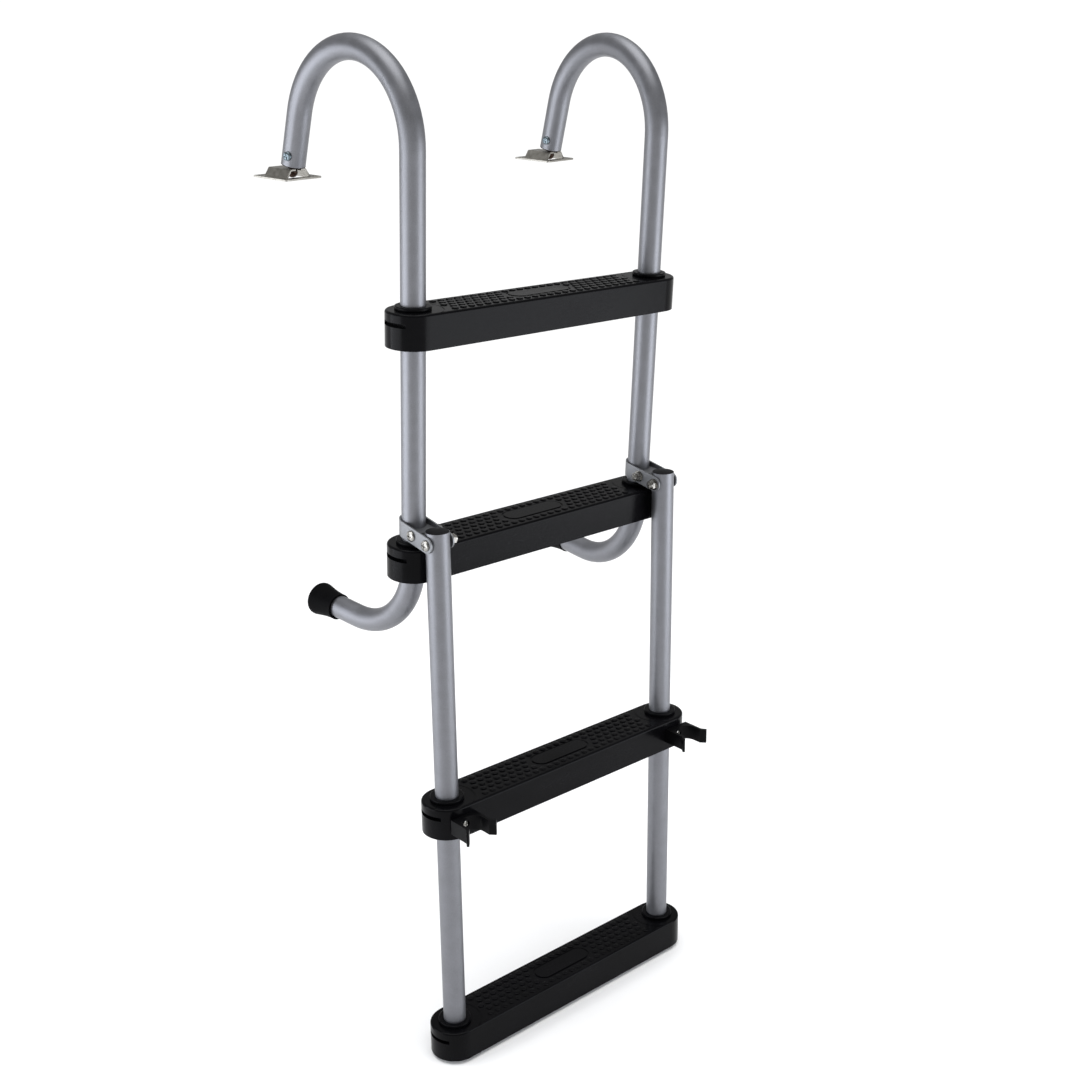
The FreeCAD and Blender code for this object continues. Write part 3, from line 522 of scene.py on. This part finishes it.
class Ladder:
    """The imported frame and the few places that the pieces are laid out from."""

    def __init__(self) -> None:
        """Load the frame and keep its box."""
        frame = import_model()
        self.nodes = frame["nodes"]
        self.joints = {joint["name"]: joint for joint in frame["joints"]}
        self.cad_box = [list(corner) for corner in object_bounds()]

    def points(self, node: str) -> np.ndarray:
        """Vertices of a frame node, n x 3.

        Args:
            node: Name of the node.

        Returns:
            Its vertices, in metres.
        """
        mesh = self.nodes[node].data
        flat = np.empty(len(mesh.vertices) * 3)
        mesh.vertices.foreach_get("co", flat)
        return flat.reshape(-1, 3)

    def middle(self, node: str) -> np.ndarray:
        """Middle of a node's box.

        Args:
            node: Name of the node.

        Returns:
            The point halfway between the box's corners.
        """
        low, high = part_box(node)
        return (np.array(low) + np.array(high)) / 2

    def long_axis(self, node: str) -> np.ndarray:
        """Direction in which a node is longest, upwards: the first principal axis of its vertices.

        Args:
            node: Name of the node.

        Returns:
            A unit vector.
        """
        points = self.points(node)
        axis = np.linalg.svd(points - points.mean(0), full_matrices=False)[2][0]
        return axis * (1 if axis[2] > 0 else -1)

    def upright(self, node: str, lower: bool) -> Place:
        """Axes of the upper or the lower section, with the origin at the world's.

        Args:
            node: A lower rail's name, whose axis gives the lean.
            lower: True for the leaning lower section.

        Returns:
            The place.
        """
        if not lower:
            return Place(np.zeros(3), np.eye(3))
        up = self.long_axis(node) * np.array([0.0, 1.0, 1.0])
        up /= np.linalg.norm(up)
        along = np.array([1.0, 0.0, 0.0])
        return Place(np.zeros(3), np.array([along, np.cross(up, along), up]))

    def local_box(self, node: str, place: Place) -> tuple[np.ndarray, np.ndarray]:
        """Lowest and highest corner of a node as a place sees it.

        Args:
            node: Name of the node.
            place: The place that looks at it.

        Returns:
            The two corners.
        """
        points = place.local(self.points(node))
        return points.min(0), points.max(0)


def axes_from(up: np.ndarray) -> np.ndarray:
    """Three unit axes, the rows of an array, the third along a direction.

    Args:
        up: The direction, of any length.

    Returns:
        The axes, 3 x 3.
    """
    up = up / np.linalg.norm(up)
    side = np.cross(up, [0.0, 0.0, 1.0] if abs(up[2]) < 0.9 else [0.0, 1.0, 0.0])
    side /= np.linalg.norm(side)
    return np.array([side, np.cross(up, side), up])


# ------------------------------------------------------------------ surfaces

@dataclass(frozen=True)
class Surface:
    """Points and faces of a surface, before it becomes a mesh."""

    points: np.ndarray
    faces: list[np.ndarray]

    def at(self, place: Place) -> "Surface":
        """The same surface carried into a place.

        Args:
            place: The place that the points are given in.

        Returns:
            The surface in the frame.
        """
        return Surface(place.carry(self.points), self.faces)

    def copies(self, centres: np.ndarray) -> "Surface":
        """The surface repeated at each centre: points p + c for every centre c.

        Args:
            centres: Centres, n x 3.

        Returns:
            One surface that holds all the copies.
        """
        points = (self.points[None, :, :] + centres[:, None, :]).reshape(-1, 3)
        count = len(self.points)
        faces = []
        for ring in self.faces:
            shifted = ring[None, :, :] + (np.arange(len(centres)) * count)[:, None, None]
            faces.append(shifted.reshape(-1, ring.shape[1]))
        return Surface(points, faces)


def turned(profile: Outline, sides: int, closed: bool = False) -> Surface:
    """Surface of revolution about Z.

    Point (i, j) is (r_i cos a_j, r_i sin a_j, z_i), with a_j = 2 pi j / sides.  The profile runs
    with the solid on its left, seen with the radius to the right and Z up, so faces point
    outwards.  An end on the axis becomes one pole vertex with a fan round it.

    Args:
        profile: Pairs (radius, z) in metres.
        sides: Number of steps round the axis.
        closed: True for a ring, whose last point joins its first.

    Returns:
        The surface.
    """
    line = np.asarray(profile, float)
    first_pole = not closed and line[0, 0] == 0
    last_pole = not closed and line[-1, 0] == 0
    rings = line[int(first_pole):len(line) - int(last_pole)]
    angle = np.arange(sides) * FULL_TURN / sides
    grid = np.stack([
        rings[:, :1] * np.cos(angle), rings[:, :1] * np.sin(angle), np.repeat(rings[:, 1:], sides, 1)], -1)
    points = grid.reshape(-1, 3)
    index = np.arange(len(points)).reshape(len(rings), sides)
    low = index if closed else index[:-1]
    high = np.roll(index, -1, 0) if closed else index[1:]
    quads = np.stack([low, np.roll(low, -1, 1), np.roll(high, -1, 1), high], -1).reshape(-1, 4)
    faces = [quads]
    if first_pole:
        pole = np.full(sides, len(points))
        points = np.vstack([points, [0.0, 0.0, line[0, 1]]])
        faces.append(np.stack([pole, np.roll(index[0], -1), index[0]], -1))
    if last_pole:
        pole = np.full(sides, len(points))
        points = np.vstack([points, [0.0, 0.0, line[-1, 1]]])
        faces.append(np.stack([index[-1], np.roll(index[-1], -1), pole], -1))
    return Surface(points, faces)


def rounded(corners: Outline, radius: float, steps: int = 4) -> Outline:
    """Open polyline whose inner corners are rounded by quadratic curves.

    Between the points one radius before and after a corner C, the curve is
    (1 - t)^2 A + 2 t (1 - t) C + t^2 B.

    Args:
        corners: Pairs of numbers.
        radius: How far from each corner its curve starts; less on short runs.
        steps: Points on each curve.

    Returns:
        Pairs of numbers.
    """
    line = np.asarray(corners, float)
    made = [line[0]]
    share = np.linspace(0, 1, steps)[:, None]
    for before, corner, after in zip(line[:-2], line[1:-1], line[2:]):
        back, ahead = before - corner, after - corner
        reach = min(radius, np.linalg.norm(back) / 2, np.linalg.norm(ahead) / 2)
        start = corner + back / np.linalg.norm(back) * reach
        end = corner + ahead / np.linalg.norm(ahead) * reach
        made.extend((1 - share) ** 2 * start + 2 * share * (1 - share) * corner + share ** 2 * end)
    made.append(line[-1])
    return [tuple(point) for point in made]


# ------------------------------------------------------------------ pieces

def dress(piece: bpy.types.Object, finish: Finish) -> None:
    """Give a piece or a frame node one finish.

    Args:
        piece: The piece or node.
        finish: Its finish.
    """
    slots = piece.data.materials
    if len(slots):
        for i in range(len(slots)):
            slots[i] = finish.material()
    else:
        slots.append(finish.material())
    log.info("%s: %s", piece.name, finish.name)


def make_piece(name: str, surface: Surface, finish: Finish, body: Body,
               replaced: tuple[str, ...] = (), crease: float = 35.0) -> bpy.types.Object:
    """Put a surface into a mesh, dress it and let it ride on its body.

    Args:
        name: Name of the piece.
        surface: Its points and faces, in the frame.
        finish: Its finish.
        body: The body it moves with.
        replaced: Frame nodes that it stands for.
        crease: Angle in degrees above which an edge stays sharp.

    Returns:
        The piece.
    """
    mesh = bpy.data.meshes.new(name)
    mesh.from_pydata(surface.points.tolist(), [], [face for ring in surface.faces for face in ring.tolist()])
    mesh.validate()
    mesh.shade_smooth()
    mesh.set_sharp_from_angle(angle=math.radians(crease))
    piece = bpy.data.objects.new(name, mesh)
    bpy.context.scene.collection.objects.link(piece)
    dress(piece, finish)
    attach(piece, body.value)
    if replaced:
        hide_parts(*replaced)
    return piece


def eased_copy(ladder: Ladder, node: str, width: float, finish: Finish, body: Body,
               segments: int = 2) -> bpy.types.Object:
    """Copy of a frame node with its edges eased, which stands for the node.

    The copy's loose triangles are merged and its flat areas made whole before a bevel
    rounds every edge sharper than SHARP_ANGLE.

    Args:
        ladder: The frame.
        node: Name of the node.
        width: Width of the bevel, in metres.
        finish: Its finish.
        body: The body it moves with.
        segments: Steps across the bevel.

    Returns:
        The piece.
    """
    mesh = ladder.nodes[node].data.copy()
    mesh.name = node + "_eased"
    work = bmesh.new()
    work.from_mesh(mesh)
    bmesh.ops.remove_doubles(work, verts=work.verts, dist=MERGE_DISTANCE)
    bmesh.ops.dissolve_limit(work, angle_limit=math.radians(FLAT_ANGLE), verts=work.verts, edges=work.edges)
    work.to_mesh(mesh)
    work.free()
    if "custom_normal" in mesh.attributes:
        mesh.attributes.remove(mesh.attributes["custom_normal"])
    mesh.shade_smooth()
    mesh.set_sharp_from_angle(angle=math.radians(SHARP_ANGLE))
    piece = bpy.data.objects.new(mesh.name, mesh)
    bpy.context.scene.collection.objects.link(piece)
    bevel = piece.modifiers.new("eased_edges", "BEVEL")
    bevel.width = width
    bevel.segments = segments
    bevel.limit_method = "ANGLE"
    bevel.angle_limit = math.radians(SHARP_ANGLE)
    bevel.use_clamp_overlap = True
    bevel.harden_normals = True
    dress(piece, finish)
    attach(piece, body.value)
    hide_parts(node)
    return piece


# ------------------------------------------------------------------ sub-assemblies

@dataclass
class Rails:
    """The bent upper rails and the straight lower rails."""

    ladder: Ladder

    def dress(self) -> None:
        """Satin aluminium on all four tubes."""
        for side in Side:
            dress(self.ladder.nodes[side.word + "_upper_rail"], RAIL)
            dress(self.ladder.nodes[side.word + "_lower_rail"], RAIL)


@dataclass
class Step:
    """One moulded step with its studded tread and its two collars."""

    ladder: Ladder
    name: str
    body: Body
    pitch: float = 10.4 * MM
    row_gap: float = 9.2 * MM
    stud_radius: float = 3.7 * MM
    stud_height: float = 1.1 * MM
    stud_root: float = 0.1 * MM
    stud_sides: int = 14
    stud_crease: float = 50.0
    row_reach: int = 2
    column_reach: int = 18
    pad_half_length: float = 38.5 * MM
    pad_half_depth: float = 11.0 * MM
    pad_rise: float = 0.5 * MM
    pad_margin: float = 2.2 * MM
    boss_radius: float = 31.2 * MM
    collar_radius: float = 18.5 * MM
    collar_rise: float = 4.0 * MM
    spigot_radius: float = 15.0 * MM
    collar_seat: float = 8.0 * MM
    bore_radius: float = 12.73 * MM
    collar_edge: float = 1.1 * MM
    collar_sides: int = 72

    def __post_init__(self) -> None:
        """Find the middle of the tread and the rails' distance from it."""
        axes = self.ladder.upright("left_lower_rail", self.body is Body.LOWER)
        low, high = self.ladder.local_box(self.name, axes)
        middle = (low + high) / 2
        self.tread = axes.moved(0.0, middle[1], high[2] - self.pad_rise)
        self.rail_x = abs(self.ladder.middle("left_lower_rail")[0])

    def centres(self) -> np.ndarray:
        """Centres of the studs on the tread.

        Five staggered rows, with x = (k + s / 2) pitch and s = 1 in every other row.  Those that
        would touch the pad or an end boss are left out.

        Returns:
            Points, n x 3, in the tread's place.
        """
        rows = np.arange(-self.row_reach, self.row_reach + 1)
        columns = np.arange(-self.column_reach, self.column_reach + 1)
        row, column = np.meshgrid(rows, columns, indexing="ij")
        x = (column + (row % 2) / 2) * self.pitch
        y = row * self.row_gap
        points = np.stack([x, y, np.zeros_like(x)], -1).reshape(-1, 3)
        straight = self.pad_half_length - self.pad_half_depth
        from_pad = np.hypot(np.maximum(np.abs(points[:, 0]) - straight, 0.0), points[:, 1])
        from_rail = np.hypot(np.abs(points[:, 0]) - self.rail_x, points[:, 1])
        clear_pad = from_pad > self.pad_half_depth + self.pad_margin + self.stud_radius
        clear_boss = from_rail > self.boss_radius + self.stud_radius
        return points[clear_pad & clear_boss & (np.abs(points[:, 0]) < self.rail_x)]

    def stud(self) -> Surface:
        """One round stud: a low drum with an eased rim, its foot just inside the tread.

        Returns:
            The stud, centred on the origin.
        """
        top, wide = self.stud_height, self.stud_radius
        rim = [(wide, 0.25 * top), (0.95 * wide, 0.7 * top), (0.84 * wide, 0.93 * top), (0.68 * wide, top)]
        profile = [(0.0, -self.stud_root), (wide, -self.stud_root), *rim, (0.0, 1.02 * top)]
        return turned(profile, self.stud_sides)

    def collar(self) -> Surface:
        """One collar: a flange with eased edges on a spigot that goes down into the step.

        Returns:
            The collar, centred on the origin.
        """
        flange = rounded([
            (self.spigot_radius, 0.0), (self.collar_radius, 0.0), (self.collar_radius, self.collar_rise),
            (self.bore_radius, self.collar_rise), (self.bore_radius, -self.collar_seat)], self.collar_edge, 5)
        profile = [(self.spigot_radius, -self.collar_seat), *flange]
        return turned(profile, self.collar_sides, closed=True)

    def build(self) -> None:
        """Make the studs and the collars and dress the moulding."""
        studs = self.stud().copies(self.centres()).at(self.tread)
        make_piece(self.name + "_studs", studs, STEP, self.body, crease=self.stud_crease)
        places = np.array([[-self.rail_x, 0.0, 0.0], [self.rail_x, 0.0, 0.0]])
        collars = self.collar().copies(places).at(self.tread)
        make_piece(self.name + "_eased_collars", collars, COLLAR, self.body, (self.name + "_collars",))
        dress(self.ladder.nodes[self.name], STEP)


STEPS = {
    "top_step": Body.UPPER,
    "second_step": Body.UPPER,
    "third_step": Body.LOWER,
    "bottom_step": Body.LOWER,
}


@dataclass
class FoldHinge:
    """The strap brackets, saddles, bolts, washers, nuts and bushes on which the ladder folds."""

    ladder: Ladder
    strap_edge: float = 0.35 * MM
    saddle_edge: float = 0.5 * MM

    def build(self) -> None:
        """Ease the straps and saddles and dress the fasteners."""
        for side in Side:
            eased_copy(self.ladder, side.word + "_hinge_bracket", self.strap_edge, BRACKET, Body.UPPER)
            eased_copy(self.ladder, side.word + "_bracket_saddle", self.saddle_edge, BRACKET, Body.UPPER)
        for spot in ("clamp", "fold"):
            for kind in ("bolts", "washers", "nuts"):
                dress(self.ladder.nodes[f"{spot}_{kind}"], BRIGHT)
        # The bushes share the plug plastic, whose brown tone is partly painted shade.
        dress(self.ladder.nodes["fold_bushes"], PLUG_PLASTIC_AND_SHADE)


@dataclass
class StandoffTips:
    """Flared rubber tips on the feet of the upper rails."""

    ladder: Ladder
    sleeve: float = 14.75 * MM
    mouth: float = 12.73 * MM
    flare: float = 18.5 * MM
    flare_power: float = 1.7
    floor: float = 26.0 * MM
    lip_depth: float = 1.5 * MM
    lip_swell: float = 0.2 * MM
    lip_edge: float = 0.7 * MM
    skin_start: float = 1.6 * MM
    rim_edge: float = 3.0 * MM
    rim_gap: float = 3.6 * MM
    dish_radii: tuple[float, float] = (0.55, 0.45)
    dish_depth: float = 0.8 * MM
    sides: int = 64
    crease: float = 60.0

    def outline(self, length: float) -> Outline:
        """Profile of a tip: sleeve, long flare, rounded rim and slightly dished end.

        Args:
            length: Length of the tip, in metres.

        Returns:
            Pairs (radius, z).
        """
        reach = np.linspace(0, 1, 14)
        swell = self.sleeve + (self.flare - self.sleeve) * reach ** self.flare_power
        skin = list(zip(swell, self.skin_start + reach * (length - self.skin_start - self.rim_gap)))
        rim = rounded([skin[-1], (self.flare, length), (0.0, length)], self.rim_edge, 7)
        lip = rounded([(self.mouth, self.lip_depth), (self.mouth, 0.0),
                       (self.sleeve + self.lip_swell, 0.0), skin[0]], self.lip_edge)
        outer, inner = (self.flare * share for share in self.dish_radii)
        sunk = length - self.dish_depth
        dish = [(outer, length), (inner, sunk), (0.0, sunk)]
        return [(0.0, self.floor), (self.mouth, self.floor), *lip, *skin[1:-1], *rim[:-1], *dish]

    def build(self) -> None:
        """Make both tips, each turned about its own foot's axis."""
        for side in Side:
            node = side.word + "_standoff_cap"
            middle = self.ladder.middle(node)
            rail_x = self.ladder.middle(side.word + "_lower_rail")[0]
            rail_y = self.ladder.middle("top_step")[1]
            away = middle - np.array([rail_x, rail_y, middle[2]])
            place = Place(middle, axes_from(away))
            low, high = self.ladder.local_box(node, place)
            tip = turned(self.outline(high[2] - low[2]), self.sides).at(place.moved(0.0, 0.0, low[2]))
            make_piece(side.word + "_rubber_tip", tip, TIP, Body.UPPER, (node,), crease=self.crease)


@dataclass
class RailCaps:
    """Domed caps in the tops of the lower rails."""

    ladder: Ladder
    radius: float = 12.2 * MM
    dome: float = 1.5 * MM
    dome_share: float = 0.93
    shoulder: float = 0.55 * MM
    rim: float = 0.5 * MM
    rim_edge: float = 0.25 * MM
    stem_radius: float = 11.0 * MM
    stem: float = 6.0 * MM
    sides: int = 64

    def build(self) -> None:
        """Make both caps on the leaning axis of their rails."""
        lean = self.ladder.upright("left_lower_rail", True)
        for side in Side:
            node = side.word + "_rail_cap"
            low, high = self.ladder.local_box(node, lean)
            middle = (low + high) / 2
            base = lean.moved(middle[0], middle[1], low[2] + self.stem)
            reach = np.linspace(1, 0, 9)
            rise = self.shoulder + (self.dome - self.shoulder) * (1 - reach ** 2)
            dome = list(zip(self.radius * self.dome_share * reach, rise))
            edge = rounded([(self.stem_radius, 0.0), (self.radius, 0.0), (self.radius, self.rim), dome[0]],
                           self.rim_edge)
            profile = [(0.0, -self.stem), (self.stem_radius, -self.stem), *edge, *dome[1:]]
            cap = turned(profile, self.sides).at(base)
            make_piece(side.word + "_domed_cap", cap, CAP, Body.LOWER, (node,))


@dataclass
class StorageClips:
    """Clips on the third step that hold the upper rails when the ladder is folded."""

    ladder: Ladder
    edge: float = 0.5 * MM

    def build(self) -> None:
        """Ease both clips and dress their screws."""
        for side in Side:
            eased_copy(self.ladder, side.word + "_storage_clip", self.edge, CLIP, Body.LOWER)
        dress(self.ladder.nodes["clip_screws"], BRIGHT)


@dataclass
class HookEnds:
    """Plugs, cross screws, swivel studs and deck plates at the ends of the hooks."""

    ladder: Ladder
    lip_radius: float = 12.75 * MM
    lip_height: float = 0.7 * MM
    lip_bore: float = 3.6 * MM
    lip_edge: float = 0.15 * MM
    lip_sides: int = 64
    ball_drop: float = 8.66 * MM
    plate_edge: float = 0.3 * MM

    def lip(self) -> Surface:
        """Thin flange of the plug over the tube's end.

        Returns:
            The flange, with the tube's end at z = 0.
        """
        profile = rounded([(self.lip_bore, 0.0), (self.lip_bore, -self.lip_height),
                           (self.lip_radius, -self.lip_height), (self.lip_radius, 0.0)], self.lip_edge)
        return turned(profile, self.lip_sides, closed=True)

    def build(self) -> None:
        """Make the lips, ease the plates and dress the rest."""
        for side in Side:
            joint = self.ladder.joints[side.word + "_swivel_spin"]
            leg = Place(np.array(joint["pos_m"], float), axes_from(np.array(joint["axis"], float)))
            # The dark lip ring is partly the plug's real flange and partly painted shade for the shaded rim
            # at the tube's end.
            lip = self.lip().at(leg.moved(0.0, 0.0, self.ball_drop))
            make_piece(side.word + "_plug_lip", lip, PLUG_PLASTIC_AND_SHADE, Body.UPPER)
            dress(self.ladder.nodes[side.word + "_hook_plug"], PLUG_PLASTIC_AND_SHADE)
            # The swivel studs take the dark brown steel, whose colour is painted shade under the bridges.
            dress(self.ladder.nodes[side.word + "_swivel_stud"], STUD_STEEL_PAINTED_SHADE)
            eased_copy(self.ladder, side.word + "_deck_plate", self.plate_edge, SHEET, side.plate)
        dress(self.ladder.nodes["hook_cross_screws"], ZINC)


@dataclass
class StepScrews:
    """Screws in the backs of the steps."""

    ladder: Ladder

    def dress(self) -> None:
        """Bright steel on both sets."""
        for node in ("upper_step_screws", "lower_step_screws"):
            dress(self.ladder.nodes[node], BRIGHT)


# ------------------------------------------------------------------ studio

@dataclass(frozen=True)
class Softbox:
    """Rectangular soft light: its turn from the camera's side in degrees, place, size and watts."""

    name: str
    turn: float
    distance: float
    height: float
    wide: float
    tall: float
    power: float


SOFTBOXES = (
    Softbox("left_softbox", turn=-62.0, distance=1.5, height=-0.45, wide=1.0, tall=0.95, power=10.5),
    Softbox("edge_softbox", turn=-86.0, distance=1.5, height=-0.30, wide=0.22, tall=1.2, power=4.5),
    Softbox("right_softbox", turn=72.0, distance=1.6, height=-0.42, wide=1.1, tall=1.0, power=13.0),
    Softbox("top_softbox", turn=170.0, distance=1.3, height=1.9, wide=1.6, tall=1.6, power=3.0),
)


@dataclass
class Studio:
    """Pale floor, soft lights and the camera."""

    eye: tuple[float, float, float] = (-0.99894, -1.33080, 0.19869)
    azimuth: float = -41.55
    elevation: float = 21.02
    roll: float = 1.73
    lens: float = 48.554
    sensor: float = 36.0
    floor_half: float = 600.0
    floor_tone: float = 0.95
    floor_gap: float = 2 * MM
    floor_roughness: float = 0.9
    floor_shine: float = 0.1
    near: float = 0.02
    far: float = 3000.0
    sky: float = 0.42
    backdrop: float = 1.0
    light_colour: Colour = (0.91, 0.94, 1.0)
    ceiling: float = 2.3
    ceiling_spread: float = 60.0

    def build(self) -> None:
        """Make the floor, the lights, the sky and the camera."""
        self.make_camera()
        self.make_floor()
        self.make_sky()
        for softbox in SOFTBOXES:
            self.make_softbox(softbox)
        self.make_ceiling()

    def make_camera(self) -> None:
        """Camera with its own roll: right and up are turned about the line of sight."""
        az, el, roll = (math.radians(angle) for angle in (self.azimuth, self.elevation, self.roll))
        back = Vector((math.sin(az) * math.cos(el), -math.cos(az) * math.cos(el), math.sin(el)))
        level = Vector((math.cos(az), math.sin(az), 0.0))
        plumb = back.cross(level)
        right = level * math.cos(roll) + plumb * math.sin(roll)
        up = plumb * math.cos(roll) - level * math.sin(roll)
        data = bpy.data.cameras.new("camera")
        data.lens = self.lens
        data.sensor_width = self.sensor
        data.clip_start = self.near
        data.clip_end = self.far
        camera = bpy.data.objects.new("camera", data)
        bpy.context.scene.collection.objects.link(camera)
        camera.matrix_world = Matrix.Translation(self.eye) @ Matrix((right, up, back)).transposed().to_4x4()
        bpy.context.scene.camera = camera

    def make_floor(self) -> None:
        """Level floor under the lowest point."""
        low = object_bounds()[0].z - self.floor_gap
        half = self.floor_half
        corners = np.array([[-half, -half, low], [half, -half, low], [half, half, low], [-half, half, low]])
        mesh = bpy.data.meshes.new("floor")
        mesh.from_pydata(corners.tolist(), [], [[0, 1, 2, 3]])
        floor = bpy.data.objects.new("floor", mesh)
        bpy.context.scene.collection.objects.link(floor)
        board = Board("pale_floor")
        board.shader.inputs["Base Color"].default_value = (self.floor_tone,) * 3 + (1.0,)
        board.constant(Roughness=self.floor_roughness, Specular_IOR_Level=self.floor_shine)
        mesh.materials.append(board.material)
        floor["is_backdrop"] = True

    def make_sky(self) -> None:
        """Even light from all round, in front of a pale backdrop."""
        world = bpy.data.worlds.new("studio")
        world.use_nodes = True
        nodes, links = world.node_tree.nodes, world.node_tree.links
        background = next(node for node in nodes if node.type == "BACKGROUND")
        brightness = nodes.new("ShaderNodeMapRange")
        brightness.inputs["To Min"].default_value = self.sky
        brightness.inputs["To Max"].default_value = self.backdrop
        links.new(nodes.new("ShaderNodeLightPath").outputs["Is Camera Ray"], brightness.inputs["Value"])
        links.new(brightness.outputs["Result"], background.inputs["Strength"])
        background.inputs["Color"].default_value = (1.0, 1.0, 1.0, 1.0)
        bpy.context.scene.world = world
        bpy.context.scene.view_settings.view_transform = "Standard"

    def make_ceiling(self) -> None:
        """Broad soft light from straight above, which keeps the floor pale."""
        data = bpy.data.lights.new("ceiling", "SUN")
        data.energy = self.ceiling
        data.angle = math.radians(self.ceiling_spread)
        light = bpy.data.objects.new("ceiling", data)
        bpy.context.scene.collection.objects.link(light)

    def make_softbox(self, softbox: Softbox) -> None:
        """Put up one soft light, which looks at the ladder's middle.

        Args:
            softbox: The light.
        """
        data = bpy.data.lights.new(softbox.name, "AREA")
        data.shape = "RECTANGLE"
        data.size, data.size_y = softbox.wide, softbox.tall
        data.energy = softbox.power
        data.color = self.light_colour
        light = bpy.data.objects.new(softbox.name, data)
        bpy.context.scene.collection.objects.link(light)
        low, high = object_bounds()
        middle = (low + high) / 2
        angle = math.radians(self.azimuth + softbox.turn)
        x = middle.x + softbox.distance * math.sin(angle)
        y = middle.y - softbox.distance * math.cos(angle)
        light.location = (x, y, softbox.height)
        light.rotation_euler = (middle - light.location).to_track_quat("-Z", "Y").to_euler()
        light.visible_camera = False


def main() -> None:
    """Build and dress the ladder in order, then the studio."""
    logging.basicConfig(level=logging.INFO, format="%(name)s %(message)s")
    for name in [item.name for item in bpy.data.objects]:
        bpy.data.objects.remove(bpy.data.objects[name])
    ladder = Ladder()
    Studio().build()
    Rails(ladder).dress()
    for name, body in STEPS.items():
        Step(ladder, name, body).build()
    FoldHinge(ladder).build()
    StandoffTips(ladder).build()
    RailCaps(ladder).build()
    StorageClips(ladder).build()
    HookEnds(ladder).build()
    StepScrews(ladder).dress()


if __name__ == "__main__":
    main()
